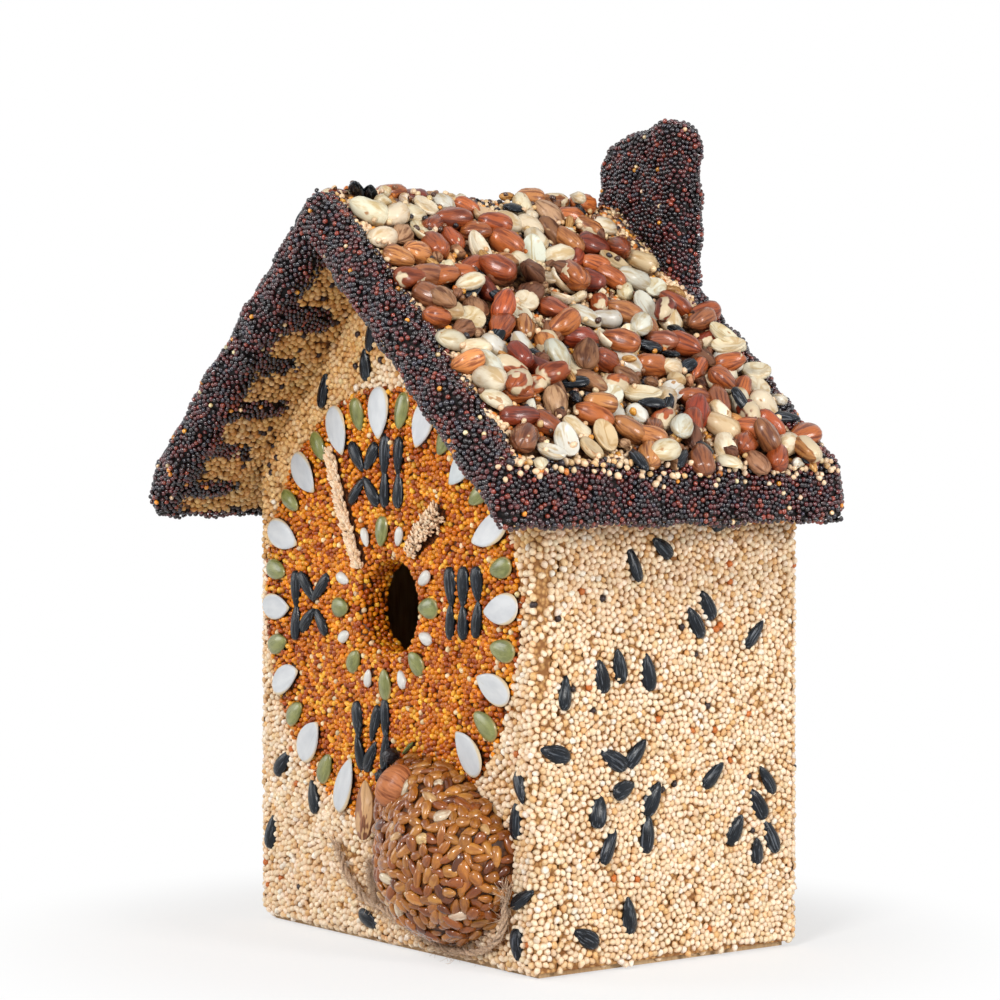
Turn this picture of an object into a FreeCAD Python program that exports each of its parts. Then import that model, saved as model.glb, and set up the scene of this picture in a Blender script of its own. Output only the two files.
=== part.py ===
"""Seed-covered birdhouse: a plywood nest box with a steep gabled roof, coated all over in bird seed.

Frame: +Z up, the decorated front faces -Y, +X is on the right of someone who faces the front.
The origin lies on the resting plane, under the middle of the house's box. Lengths are millimetres.
"""

import FreeCAD, Part

import math
import os
import random

Vector = FreeCAD.Vector

# Driving dimensions of the house
HOUSE_WIDTH = 160.0
HOUSE_DEPTH = 111.0
ROOF_LENGTH = 144.0
ROOF_HALF_SPAN = 103.5
ROOF_PITCH = 42.0
RIDGE_HEIGHT = 254.0
FRONT_OVERHANG = 32.5
PLY = 6.0
SEED_COAT = 3.0
NUT_BED = 4.2
SOFFIT_COAT = 2.5
COAT_FOOT = 2.0

# Driving dimensions of the openings
ENTRANCE_HEIGHT = 115.5
ENTRANCE_WOOD_RADIUS = 19.0
ENTRANCE_CLEAR_RADIUS = 17.0
ENTRANCE_LIP = 1.5
FLOOR_RAISE = 8.0
CLEANOUT_RADIUS = 19.0
CLEANOUT_Y = 32.0
DRAIN_CLIP = 9.0

# Driving dimensions of the clean-out cover and its pivot screw
PIVOT_Y = 1.0
COVER_RADIUS = 24.0
COVER_LOBE_RADIUS = 8.0
COVER_THICKNESS = 3.0
COVER_GAP = 0.3
SCREW_SHANK_RADIUS = 2.0
SCREW_CORE_RADIUS = 1.5
SCREW_BITE = 5.5
SCREW_HEAD_RADIUS = 3.8
SCREW_HEAD_HEIGHT = 2.0
SCREW_RUNNING_FIT = 0.08

# Driving dimensions of the brads
BRAD_WIDTH = 1.25
BRAD_THICKNESS = 1.0
BRAD_HEAD = 2.1
BRAD_LIP = 0.9

# Driving dimensions of the clock face
DIAL_X = -2.0
DIAL_Z = 115.0
DIAL_RADIUS = 74.0
DIAL_THICKNESS = 3.5
DIAL_TURN = -2.0
OUTER_RING_RADIUS = 66.5
INNER_RING_RADIUS = 26.0

# Driving dimensions of the chimney
CHIMNEY_LEFT = -10.5
CHIMNEY_RIGHT = 31.0
CHIMNEY_TOP_LEFT = 277.5
CHIMNEY_TOP_RIGHT = 284.0
CHIMNEY_CORNER = 9.0

# Driving dimensions of the seed mouse; its outline swells towards the snout and the rump
MOUSE_X = 36.0
MOUSE_Z = 36.0
MOUSE_RADIUS = 28.6
MOUSE_SNOUT = (141.0, 11.5, 26.0)
MOUSE_RUMP = (-8.0, 4.0, 38.0)
MOUSE_NAPE = (56.0, -3.8, 20.0)
MOUSE_STAND_OUT = 23.0
MOUSE_HEAD_DROP = 0.4
TWINE_RADIUS = 1.5
STRAND_RADIUS = 0.9

# Reach of the dark rapeseed trim over the roof's edges
RAKE_WRAP_TOP = 10.0
RAKE_WRAP_UNDER = 8.0
EAVE_WRAP_TOP = 3.0
EAVE_WRAP_UNDER = 4.0

# Routes of the twine tail and of its parted strand on the front, as X-Z points
TAIL_ROUTE = [(67.8, 24.5), (66.8, 15.5), (61.5, 8.8), (52.5, 5.8), (42.0, 4.4), (31.5, 4.9), (21.0, 7.4),
              (11.0, 10.2), (1.5, 12.8), (-7.5, 14.4), (-15.5, 16.9), (-21.3, 21.6), (-25.9, 27.6),
              (-30.0, 33.4)]
STRAND_ROUTE = [(-3.6, 16.4), (-5.6, 20.0), (-6.6, 24.2), (-7.2, 28.4)]

# Flats that ease the crust's outer edges, where the seeds roll over the boards' corners
ROOF_EASE = 2.6
WALL_EASE = 1.6
CHIMNEY_EASE = 1.8

# Rapeseed fingers under each slope: distance from the ridge, place of the tip, half width
FINGERS = ((26.0, -45.5, 5.0), (43.0, -49.5, 3.2), (59.5, -43.5, 3.6), (75.5, -47.5, 3.2), (90.5, -44.5, 3.0))

# Seeds and nuts: length, width, how far they stand out of the crust, sides, draw of the tip
SUNFLOWER_SEED = (10.8, 4.6, 2.2, 6, 0.5)
PUMPKIN_SEED = (17.5, 10.2, 2.6, 8, 0.8)
OUTER_PEPITA = (11.5, 6.4, 2.4, 8, 0.4)
INNER_PEPITA = (9.5, 6.0, 2.4, 8, 0.4)
SAFFLOWER_SEED = (7.0, 3.6, 2.4, 6, 0.6)
NEAR_EAR = (14.0, 13.0, 7.0, 8, 0.5)
FAR_EAR = (19.5, 11.5, 5.0, 8, 0.3)
NUT_LENGTH = (10.5, 12.6)
NUT_WIDTH = (7.4, 8.6)
NUT_STAND_OUT = (4.8, 6.4)
NUT_ROWS = 8
NUTS_IN_A_ROW = 8

SLOPE = math.tan(math.radians(ROOF_PITCH))
ACROSS = 1.0 / math.cos(math.radians(ROOF_PITCH))
HALF_WIDTH = HOUSE_WIDTH / 2
WOOD_HALF = HALF_WIDTH - SEED_COAT
CAVITY_HALF = WOOD_HALF - PLY
ROOF_FRONT = -ROOF_LENGTH / 2
ROOF_BACK = ROOF_LENGTH / 2
FACE_Y = ROOF_FRONT + FRONT_OVERHANG
FRONT_WOOD = FACE_Y + SEED_COAT
CAVITY_FRONT = FRONT_WOOD + PLY
BACK_COAT_Y = FACE_Y + HOUSE_DEPTH
BACK_WOOD = BACK_COAT_Y - SEED_COAT
CAVITY_BACK = BACK_WOOD - PLY
BOARD_TOP = RIDGE_HEIGHT - NUT_BED * ACROSS
BOARD_UNDER = BOARD_TOP - PLY * ACROSS
SOFFIT_FACE = BOARD_UNDER - SOFFIT_COAT * ACROSS
DIAL_FACE = FRONT_WOOD - DIAL_THICKNESS
FAR = 400.0


def under_roof(level, x):
    """Height of a roof surface whose ridge line stands at level, at the distance x from the ridge."""
    return level - SLOPE * abs(x)


def box(x0, x1, y0, y1, z0, z1):
    """Axis-aligned block between two corners."""
    return Part.makeBox(x1 - x0, y1 - y0, z1 - z0, Vector(x0, y0, z0))


def prism_along_y(points, y0, y1):
    """Solid with an X-Z outline, from y0 to y1."""
    corners = [Vector(x, y0, z) for x, z in points]
    face = Part.Face(Part.makePolygon(corners + corners[:1]))
    return face.extrude(Vector(0, y1 - y0, 0))


def rod_along_y(x, z, radius, y0, y1):
    """Round rod from y0 to y1."""
    return Part.makeCylinder(radius, y1 - y0, Vector(x, y0, z), Vector(0, 1, 0))


def joined(shapes):
    """One shape out of several that meet, with the seams between them removed."""
    first, rest = shapes[0], shapes[1:]
    return first.fuse(rest).removeSplitter() if rest else first


def gable_outline(half, foot, level):
    """Five-cornered wall outline that ends under a roof surface."""
    shoulder = under_roof(level, half)
    return [(-half, foot), (half, foot), (half, shoulder), (0, level), (-half, shoulder)]


def chevron(top, bottom, half):
    """Outline of an upturned V between two roof surfaces, with plumb-cut ends."""
    return [(-half, under_roof(bottom, half)), (0, bottom), (half, under_roof(bottom, half)),
            (half, under_roof(top, half)), (0, top), (-half, under_roof(top, half))]


def half_space_x(side, start=0.0):
    """Everything to one side of a plane across X; side is 1 or -1."""
    return box(start, FAR, -FAR, FAR, -FAR, FAR) if side > 0 else box(-FAR, start, -FAR, FAR, -FAR, FAR)


def placed(solid, origin, long_axis, normal):
    """Copy of a piece moved so that its X axis lies along long_axis and its Z axis along normal."""
    z = Vector(normal).normalize()
    x = Vector(long_axis)
    x = (x - z * x.dot(z)).normalize()
    y = z.cross(x)
    at = Vector(origin)
    frame = FreeCAD.Matrix(x.x, y.x, z.x, at.x, x.y, y.y, z.y, at.y, x.z, y.z, z.z, at.z, 0, 0, 0, 1)
    return solid.transformed(frame)


# Fasteners


def brad(start, direction, length):
    """Machine-driven brad: a flat T from one wire, its head flush with the wood at start."""
    half, head, lip = BRAD_WIDTH / 2, BRAD_HEAD / 2, BRAD_LIP
    outline = [(0, -head), (0, head), (lip, head), (lip, half),
               (length, half), (length, -half), (lip, -half), (lip, -head)]
    corners = [Vector(u, v, -BRAD_THICKNESS / 2) for u, v in outline]
    pin = Part.Face(Part.makePolygon(corners + corners[:1])).extrude(Vector(0, 0, BRAD_THICKNESS))
    return placed(pin, start, direction, Vector(0, 1, 0) if abs(direction.y) < 0.5 else Vector(1, 0, 0))


def gable_brads():
    """Pins through the front and back boards into the ends of the side walls."""
    pins = []
    for side in (-1, 1):
        for z in (22.0, 86.0, 150.0):
            x = side * (WOOD_HALF - PLY / 2)
            pins.append(brad(Vector(x, FRONT_WOOD, z), Vector(0, 1, 0), 22.0))
            pins.append(brad(Vector(x, BACK_WOOD, z), Vector(0, -1, 0), 22.0))
    return pins


def floor_brads():
    """Pins through the side walls into the edges of the floor."""
    height = FLOOR_RAISE + PLY / 2
    return [brad(Vector(side * WOOD_HALF, y, height), Vector(-side, 0, 0), 20.0)
            for side in (-1, 1) for y in (-12.0, 44.0)]


def roof_brads():
    """Pins through the roof boards, square to the slope, into the gable edges."""
    pins = []
    lean = math.radians(ROOF_PITCH)
    for side in (-1, 1):
        into = Vector(-side * math.sin(lean), 0, -math.cos(lean))
        for y in (FRONT_WOOD + PLY / 2, BACK_WOOD - PLY / 2):
            for x in (22.0, 58.0):
                pins.append(brad(Vector(side * x, y, under_roof(BOARD_TOP, x)), into, 20.0))
    return pins


def pivot_screw():
    """Round-headed wood screw that the clean-out cover turns on."""
    seat = FLOOR_RAISE - 2 * COVER_GAP - COVER_THICKNESS
    at = Vector(0, PIVOT_Y, seat)
    up = Vector(0, 0, 1)
    shank = Part.makeCylinder(SCREW_SHANK_RADIUS, FLOOR_RAISE - seat, at, up)
    core = Part.makeCylinder(SCREW_CORE_RADIUS, SCREW_BITE, Vector(0, PIVOT_Y, FLOOR_RAISE), up)
    head = Part.makeCone(SCREW_HEAD_RADIUS * 0.5, SCREW_HEAD_RADIUS, SCREW_HEAD_HEIGHT,
                         at - up * SCREW_HEAD_HEIGHT, up)
    return joined([head, shank, core])


# Wooden carcass


def entrance(radius, y0, y1):
    """Round tool for the entrance hole."""
    return rod_along_y(0, ENTRANCE_HEIGHT, radius, y0, y1)


def front_panel():
    """Front board: full width over the side walls, with the entrance hole."""
    board = prism_along_y(gable_outline(WOOD_HALF, 0, BOARD_UNDER), FRONT_WOOD, CAVITY_FRONT)
    return board.cut(entrance(ENTRANCE_WOOD_RADIUS, FRONT_WOOD - 1, CAVITY_FRONT + 1))


def back_panel():
    """Back board: the front board's outline, with no hole."""
    return prism_along_y(gable_outline(WOOD_HALF, 0, BOARD_UNDER), CAVITY_BACK, BACK_WOOD)


def side_wall(side):
    """Side board between front and back, its top edge planed to the roof's slope."""
    outline = [(side * CAVITY_HALF, 0), (side * WOOD_HALF, 0),
               (side * WOOD_HALF, under_roof(BOARD_UNDER, WOOD_HALF)),
               (side * CAVITY_HALF, under_roof(BOARD_UNDER, CAVITY_HALF))]
    return prism_along_y(outline, CAVITY_FRONT, CAVITY_BACK)


def floor_panel():
    """Recessed floor with clipped corners for drainage and a round clean-out hole."""
    corners = [(x, y) for x in (-CAVITY_HALF, CAVITY_HALF) for y in (CAVITY_FRONT, CAVITY_BACK)]
    board = box(-CAVITY_HALF, CAVITY_HALF, CAVITY_FRONT, CAVITY_BACK, FLOOR_RAISE, FLOOR_RAISE + PLY)
    for x, y in corners:
        inward_x = x - math.copysign(DRAIN_CLIP, x)
        inward_y = y + DRAIN_CLIP if y == CAVITY_FRONT else y - DRAIN_CLIP
        clip = [Vector(x, y, 0), Vector(inward_x, y, 0), Vector(x, inward_y, 0), Vector(x, y, 0)]
        board = board.cut(Part.Face(Part.makePolygon(clip)).extrude(Vector(0, 0, 50)))
    hole = Part.makeCylinder(CLEANOUT_RADIUS, 50, Vector(0, CLEANOUT_Y, 0))
    return board.cut(hole)


def roof_board(side):
    """Roof board from the plumb mitre at the ridge to the plumb-cut eave."""
    return board_space().common(half_space_x(side))


def chimney_outline(inset):
    """Chimney seen from the front: slanting top, rounded corners, foot below both roof slopes."""
    left, right = CHIMNEY_LEFT + inset, CHIMNEY_RIGHT - inset
    rise = (CHIMNEY_TOP_RIGHT - CHIMNEY_TOP_LEFT) / (CHIMNEY_RIGHT - CHIMNEY_LEFT)
    radius = CHIMNEY_CORNER - inset
    top_left = CHIMNEY_TOP_LEFT - inset + rise * inset
    top_right = CHIMNEY_TOP_RIGHT - inset - rise * inset
    half_turn = math.radians(45)
    bite = radius * (1 - math.cos(half_turn))
    foot = under_roof(BOARD_UNDER, right)
    points = [Vector(left, 0, foot), Vector(left, 0, top_left - radius),
              Vector(left + bite, 0, top_left - bite), Vector(left + radius, 0, top_left + rise * radius),
              Vector(right - radius, 0, top_right - rise * radius), Vector(right - bite, 0, top_right - bite),
              Vector(right, 0, top_right - radius), Vector(right, 0, foot)]
    left_side, top = Part.LineSegment(points[0], points[1]), Part.LineSegment(points[3], points[4])
    right_side, base = Part.LineSegment(points[6], points[7]), Part.LineSegment(points[7], points[0])
    parts = (left_side, Part.Arc(*points[1:4]), top, Part.Arc(*points[4:7]), right_side, base)
    return Part.Face(Part.Wire([part.toShape() for part in parts]))


def chimney_solid(inset, y0, y1, foot_level):
    """Chimney body between two planes, cut to straddle the ridge at foot_level."""
    face = chimney_outline(inset)
    face.translate(Vector(0, y0, 0))
    body = face.extrude(Vector(0, y1 - y0, 0))
    house = prism_along_y(gable_outline(ROOF_HALF_SPAN, 0, foot_level), -FAR, FAR)
    return body.cut(house)


def chimney_board():
    """Plywood chimney that stands on the roof boards at their back end."""
    return chimney_solid(SEED_COAT, ROOF_BACK - SEED_COAT - PLY, ROOF_BACK - SEED_COAT, BOARD_TOP)


def chimney_coat():
    """Rapeseed crust round the chimney board, down to the nut bed, with eased edges front and back."""
    front = ROOF_BACK - 2 * SEED_COAT - PLY
    rings = []
    for inset, y in ((CHIMNEY_EASE, front), (0, front + CHIMNEY_EASE),
                     (0, ROOF_BACK - CHIMNEY_EASE), (CHIMNEY_EASE, ROOF_BACK)):
        ring = chimney_outline(inset).OuterWire
        ring.translate(Vector(0, y, 0))
        rings.append(ring)
    house = prism_along_y(gable_outline(ROOF_HALF_SPAN, 0, RIDGE_HEIGHT), -FAR, FAR)
    return Part.makeLoft(rings, True, True).cut([house, chimney_board()])


def cleanout_cover():
    """Swinging wooden cover: a disc and a pivot lobe joined by their outer tangents."""
    bottom = FLOOR_RAISE - COVER_GAP - COVER_THICKNESS
    reach = CLEANOUT_Y - PIVOT_Y
    lean = math.asin((COVER_RADIUS - COVER_LOBE_RADIUS) / reach)
    web = []
    for radius, y in ((COVER_RADIUS, CLEANOUT_Y), (COVER_LOBE_RADIUS, PIVOT_Y)):
        web.append(Vector(radius * math.cos(lean), y - radius * math.sin(lean), bottom))
    mirror = [Vector(-p.x, p.y, p.z) for p in reversed(web)]
    plate = Part.Face(Part.makePolygon(web + mirror + web[:1])).extrude(Vector(0, 0, COVER_THICKNESS))
    disc = Part.makeCylinder(COVER_RADIUS, COVER_THICKNESS, Vector(0, CLEANOUT_Y, bottom))
    lobe = Part.makeCylinder(COVER_LOBE_RADIUS, COVER_THICKNESS, Vector(0, PIVOT_Y, bottom))
    pivot = Part.makeCylinder(SCREW_SHANK_RADIUS + SCREW_RUNNING_FIT, 50, Vector(0, PIVOT_Y, 0))
    return joined([disc, lobe, plate]).cut(pivot)


# Seed crusts


def dial_disc(y0, y1, radius=DIAL_RADIUS):
    """Round tool centred on the clock face."""
    return rod_along_y(DIAL_X, DIAL_Z, radius, y0, y1)


def eased(crust, face_y):
    """Gable crust with a flat along its two upright corners at face_y."""
    def at_corner(end):
        return abs(end.Y - face_y) < 1e-6 and abs(abs(end.X) - HALF_WIDTH) < 1e-6
    return crust.makeChamfer(WALL_EASE, [edge for edge in crust.Edges if all(map(at_corner, edge.Vertexes))])


def front_millet_coat():
    """White millet on the front, wrapped round the front board's two edges, round the clock face."""
    outline = gable_outline(HALF_WIDTH, COAT_FOOT, BOARD_UNDER)
    crust = eased(prism_along_y(outline, FACE_Y, CAVITY_FRONT - 1.0), FACE_Y)
    board = prism_along_y(gable_outline(WOOD_HALF, 0, BOARD_UNDER), FRONT_WOOD, FAR)
    return crust.cut([board, dial_disc(FACE_Y - 1, FRONT_WOOD)])


def clock_dial_coat():
    """Red millet disc with the rolled lip and the lining of the entrance hole."""
    disc = dial_disc(DIAL_FACE, FRONT_WOOD)
    inside = prism_along_y(gable_outline(HALF_WIDTH - WALL_EASE, COAT_FOOT, BOARD_UNDER), -FAR, FAR)
    lining = entrance(ENTRANCE_WOOD_RADIUS, FRONT_WOOD, CAVITY_FRONT)
    lip = Part.makeCone(ENTRANCE_CLEAR_RADIUS + ENTRANCE_LIP, ENTRANCE_CLEAR_RADIUS, ENTRANCE_LIP,
                        Vector(0, DIAL_FACE, ENTRANCE_HEIGHT), Vector(0, 1, 0))
    clear = entrance(ENTRANCE_CLEAR_RADIUS, DIAL_FACE - 1, CAVITY_FRONT + 1)
    return joined([disc.common(inside), lining]).cut([clear, lip])


def back_millet_coat():
    """White millet over the whole back board."""
    outline = gable_outline(HALF_WIDTH, COAT_FOOT, BOARD_UNDER)
    return eased(prism_along_y(outline, BACK_WOOD, BACK_COAT_Y), BACK_COAT_Y)


def wall_coat(side):
    """White millet on a side wall and on the back board's edge beside it."""
    outline = [(side * WOOD_HALF, COAT_FOOT), (side * HALF_WIDTH, COAT_FOOT),
               (side * HALF_WIDTH, under_roof(BOARD_UNDER, HALF_WIDTH)),
               (side * WOOD_HALF, under_roof(BOARD_UNDER, WOOD_HALF))]
    return prism_along_y(outline, CAVITY_FRONT, BACK_WOOD)


def top_layer(y0, y1, half=ROOF_HALF_SPAN):
    """Everything above the roof boards, up to the roof's outer surface."""
    return prism_along_y(chevron(RIDGE_HEIGHT, BOARD_TOP, half), y0, y1)


def under_layer(y0, y1, half=ROOF_HALF_SPAN):
    """Everything below the roof boards, down to the soffit's face, outside the house's walls."""
    layer = prism_along_y(chevron(BOARD_UNDER, SOFFIT_FACE, half), y0, y1)
    return layer.cut(box(-HALF_WIDTH, HALF_WIDTH, FACE_Y, BACK_COAT_Y, 0, FAR))


def roof_shell():
    """The whole thickness of the roof, boards and crusts together, its gable ends and eaves eased."""
    shell = prism_along_y(chevron(RIDGE_HEIGHT, SOFFIT_FACE, ROOF_HALF_SPAN), ROOF_FRONT, ROOF_BACK)
    return shell.makeChamfer(ROOF_EASE, [edge for edge in shell.Edges if not on_ridge(edge)])


def on_ridge(edge):
    """True for the roof's two long edges over and under the ridge line."""
    return all(abs(corner.X) < 1e-6 for corner in edge.Vertexes)


def board_space():
    """The space that the two roof boards fill."""
    outline = chevron(BOARD_TOP, BOARD_UNDER, ROOF_HALF_SPAN - SEED_COAT)
    return prism_along_y(outline, ROOF_FRONT + SEED_COAT, ROOF_BACK - SEED_COAT)


def middle_of_roof():
    """The roof's width between the two eave trims, as a cutting tool above and below the boards."""
    top = top_layer(-FAR, FAR, ROOF_HALF_SPAN - EAVE_WRAP_TOP)
    core = prism_along_y(chevron(BOARD_TOP, BOARD_UNDER, ROOF_HALF_SPAN - SEED_COAT), -FAR, FAR)
    under = prism_along_y(chevron(BOARD_UNDER, SOFFIT_FACE, ROOF_HALF_SPAN - EAVE_WRAP_UNDER), -FAR, FAR)
    return joined([top, core, under])


def soffit_fingers():
    """Tongues of rapeseed that run from the rake trim back along each soffit."""
    tongues = []
    start = ROOF_FRONT + RAKE_WRAP_UNDER
    for side in (-1, 1):
        for x, tip, half in FINGERS:
            middle = side * x
            outline = [(middle - half, start), (middle + half, start), (middle + half, tip - half),
                       (middle + half * 0.4, tip), (middle - half * 0.4, tip), (middle - half, tip - half)]
            corners = [Vector(u, v, 0) for u, v in outline]
            tongues.append(Part.Face(Part.makePolygon(corners + corners[:1])).extrude(Vector(0, 0, FAR)))
    return joined(tongues)


def rake_trim(front):
    """Rapeseed trim over one gable end of the roof: a channel at the front, a capping at the back."""
    shell = roof_shell().common(middle_of_roof()).cut(board_space())
    y_end = ROOF_FRONT if front else ROOF_BACK
    inward = 1 if front else -1
    span = sorted((y_end, y_end + inward * RAKE_WRAP_TOP))
    cap = shell.common(top_layer(span[0], span[1]))
    span = sorted((y_end, y_end + inward * SEED_COAT))
    end = shell.common(box(-FAR, FAR, span[0], span[1], 0, FAR))
    if not front:
        wall = prism_along_y(gable_outline(HALF_WIDTH, 0, BOARD_UNDER), 0, FAR)
        return joined([cap, end]).cut([wall, chimney_board()])
    under = under_layer(ROOF_FRONT, FACE_Y)
    lip = under.common(box(-FAR, FAR, ROOF_FRONT, ROOF_FRONT + RAKE_WRAP_UNDER, 0, FAR))
    tongues = under.common(soffit_fingers())
    return joined([cap, end, lip, tongues]).common(shell)


def eave_trim(side):
    """Rapeseed trim along one eave, wrapped over and under the board's edge."""
    return roof_shell().cut([board_space(), middle_of_roof()]).common(half_space_x(side))


def soffit_coat(side):
    """White millet under the front overhang and under the side overhang of one slope."""
    half = ROOF_HALF_SPAN - EAVE_WRAP_UNDER
    layer = under_layer(ROOF_FRONT + RAKE_WRAP_UNDER, ROOF_BACK - SEED_COAT, half)
    return layer.cut(soffit_fingers()).common(half_space_x(side))


def roof_nut_bed(side):
    """Bed of small seeds and crumbs that carries the nuts on one slope."""
    layer = top_layer(ROOF_FRONT + RAKE_WRAP_TOP, ROOF_BACK - RAKE_WRAP_TOP, ROOF_HALF_SPAN - EAVE_WRAP_TOP)
    return layer.cut(chimney_board()).common(half_space_x(side))


# Loose seeds and nuts, as cut facets on the surface that carries them


def kernel(length, width, height, sides=6, point=0.0, whole=False):
    """Faceted seed on the plane Z = 0, long axis X, centred.

    A point above 0 draws the +X end to a tip. A bedded seed is widest where it leaves the crust,
    and a whole one bulges above the plane that it lies on.
    """
    def ring(scale, z):
        corners = []
        for i in range(sides):
            turn = 2 * math.pi * i / sides
            x = math.cos(turn) * length / 2
            y = math.sin(turn) * width / 2 * (1 - point * math.cos(turn) * 0.45)
            corners.append(Vector(x * scale, y * scale, z))
        return corners
    rings = [ring(0.86, 0), ring(1.0, height * 0.4)] if whole else [ring(1.0, 0)]
    rings.append(ring(0.52, height))
    faces = [Part.Face(Part.makePolygon(end + end[:1])) for end in (rings[0], rings[-1])]
    for low, high in zip(rings, rings[1:]):
        for i in range(sides):
            j = (i + 1) % sides
            faces.append(Part.Face(Part.makePolygon([low[i], low[j], high[j], high[i], low[i]])))
    solid = Part.makeSolid(Part.makeShell(faces))
    if solid.Volume < 0:
        solid.reverse()
    return solid


def on_front(solid, x, z, turn, face=DIAL_FACE):
    """Seed on the front, its long axis turned from straight up, clockwise as the viewer sees it."""
    angle = math.radians(turn)
    return placed(solid, (x, face, z), (math.sin(angle), 0, math.cos(angle)), (0, -1, 0))


def on_right_wall(solid, y, z, turn):
    """Seed on the right wall, turned clockwise from straight up."""
    angle = math.radians(turn)
    return placed(solid, (HALF_WIDTH, y, z), (0, math.sin(angle), math.cos(angle)), (1, 0, 0))


def ring_of(solid, count, radius, start, inward, skip=()):
    """Seeds on a circle of the clock face, their long axes along the radius."""
    seeds = []
    for i in range(count):
        if i in skip:
            continue
        clock = start + DIAL_TURN + 360.0 * i / count
        angle = math.radians(clock)
        x = DIAL_X + radius * math.sin(angle)
        z = DIAL_Z + radius * math.cos(angle)
        seeds.append(on_front(solid, x, z, clock + (180 if inward else 0)))
    return seeds


def pumpkin_seed_ring():
    """White pumpkin seeds, tips towards the hole; the mouse takes two of the sixteen places."""
    return ring_of(kernel(*PUMPKIN_SEED), 16, OUTER_RING_RADIUS, 0, True, skip=(7, 8))


def outer_pepita_ring():
    """Green hulled pumpkin seeds between the white ones."""
    return ring_of(kernel(*OUTER_PEPITA), 16, OUTER_RING_RADIUS + 1, 11.25, True, skip=(6, 7))


def inner_pepita_ring():
    """Green pumpkin seeds round the entrance hole, less the two places that the hands cover."""
    return ring_of(kernel(*INNER_PEPITA), 8, INNER_RING_RADIUS, 0, True, skip=(1, 7))


def safflower_ring():
    """White safflower seeds round the entrance hole."""
    return ring_of(kernel(*SAFFLOWER_SEED), 8, INNER_RING_RADIUS, 22.5, True)


def numeral(strokes):
    """Roman numeral in sunflower seeds: each stroke is a seed's centre and its lean."""
    seed = kernel(*SUNFLOWER_SEED)
    return [on_front(seed, x, z, turn) for x, z, turn in strokes]


def crossed(x, z):
    """The four seeds of an X about its crossing."""
    upper = [(x - 4.2, z + 5.8, 154), (x + 4.2, z + 5.8, -154)]
    return upper + [(x - 4.2, z - 5.8, 26), (x + 4.2, z - 5.8, -26)]


def upright(x, z):
    """The two seeds of an I, end to end."""
    return [(x, z + 5.7, 178), (x, z - 5.7, 2)]


def numeral_12():
    """XII above the hole."""
    return numeral(crossed(-14.0, 160.3) + upright(-1.5, 161.0) + upright(6.5, 160.8))


def numeral_3():
    """III on the right."""
    return numeral(upright(36.0, 117.8) + upright(43.0, 118.0) + upright(50.6, 119.2))


def numeral_6():
    """VI below the hole."""
    vee = [(-17.8, 76.0, 172), (-16.6, 64.8, -8), (-7.4, 75.4, -166), (-10.0, 63.9, 18)]
    return numeral(vee + upright(-1.2, 71.8))


def numeral_9():
    """IX on the left."""
    return numeral(upright(-56.2, 113.6) + crossed(-44.8, 114.6))


def millet_hand(x0, z0, x1, z1, half):
    """Flat-backed spray of millet from its tip to its foot, as a six-sided bar with cut ends."""
    length = math.hypot(x1 - x0, z1 - z0)
    profile = [(-half, 0), (half, 0), (half * 0.86, half * 0.75), (half * 0.35, half * 1.25),
               (-half * 0.35, half * 1.25), (-half * 0.86, half * 0.75)]
    corners = [Vector(0, u, v) for u, v in profile]
    bar = Part.Face(Part.makePolygon(corners + corners[:1])).extrude(Vector(length, 0, 0))
    bar.translate(Vector(-length / 2, 0, 0))
    clockwise = math.degrees(math.atan2(x0 - x1, z0 - z1))
    return on_front(bar, (x0 + x1) / 2, (z0 + z1) / 2, clockwise)


def minute_hand():
    """Long millet spray that points to eleven."""
    return [millet_hand(-35.2, 168.2, -16.2, 128.4, 3.0)]


def hour_hand():
    """Short millet spray that points to one."""
    return [millet_hand(31.0, 148.8, 14.0, 134.0, 4.0)]


def front_sunflower_seeds():
    """Sunflower seeds scattered on the front, off the clock face."""
    seed = kernel(*SUNFLOWER_SEED)
    spots = [(-66.0, 57.0, 40), (-46.0, 47.0, -20), (-73.0, 32.0, 8), (-12.0, 7.8, 118), (72.5, 61.0, 150),
             (70.5, 50.0, 4), (74.0, 25.5, 60), (71.0, 10.5, 172), (-14.0, 197.5, 10), (-10.5, 208.0, 14),
             (-39.5, 189.5, 4)]
    return [on_front(seed, x, z, turn, FACE_Y) for x, z, turn in spots]


def right_wall_sunflower_seeds():
    """Sunflower seeds scattered on the right wall."""
    seed = kernel(*SUNFLOWER_SEED)
    spots = [(-0.4, 131.5, -14), (11.5, 136.5, -58), (31.0, 117.0, -24), (26.0, 111.5, -40),
             (52.0, 106.5, 40), (-14.0, 95.5, -12), (-6.5, 98.5, -22), (5.6, 96.0, -10), (-29.0, 91.0, -2),
             (-33.0, 71.8, -62), (-9.0, 68.5, -56), (0.5, 69.8, 38), (33.8, 60.6, 42), (58.0, 57.5, -34),
             (-4.5, 58.6, 78), (53.9, 49.6, -28), (7.2, 54.6, 30), (-15.4, 52.3, 18), (-10.8, 40.7, 26),
             (5.2, 43.3, 12), (43.6, 41.5, 22), (53.4, 33.6, -4), (59.6, 38.4, -14), (-2.4, 17.2, -10),
             (-20.3, 11.9, -56), (38.5, 146.0, 60)]
    return [on_right_wall(seed, y, z, turn) for y, z, turn in spots]


def scattered(count, seed_value, u_span, v_span, gap):
    """Unhurried scatter: spots in a rectangle that keep their distance, each with a lean."""
    draw = random.Random(seed_value)
    spots = []
    while len(spots) < count:
        u, v = draw.uniform(*u_span), draw.uniform(*v_span)
        if all(math.hypot(u - a, v - b) > gap for a, b, _ in spots):
            spots.append((u, v, draw.uniform(0, 180)))
    return spots


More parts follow.
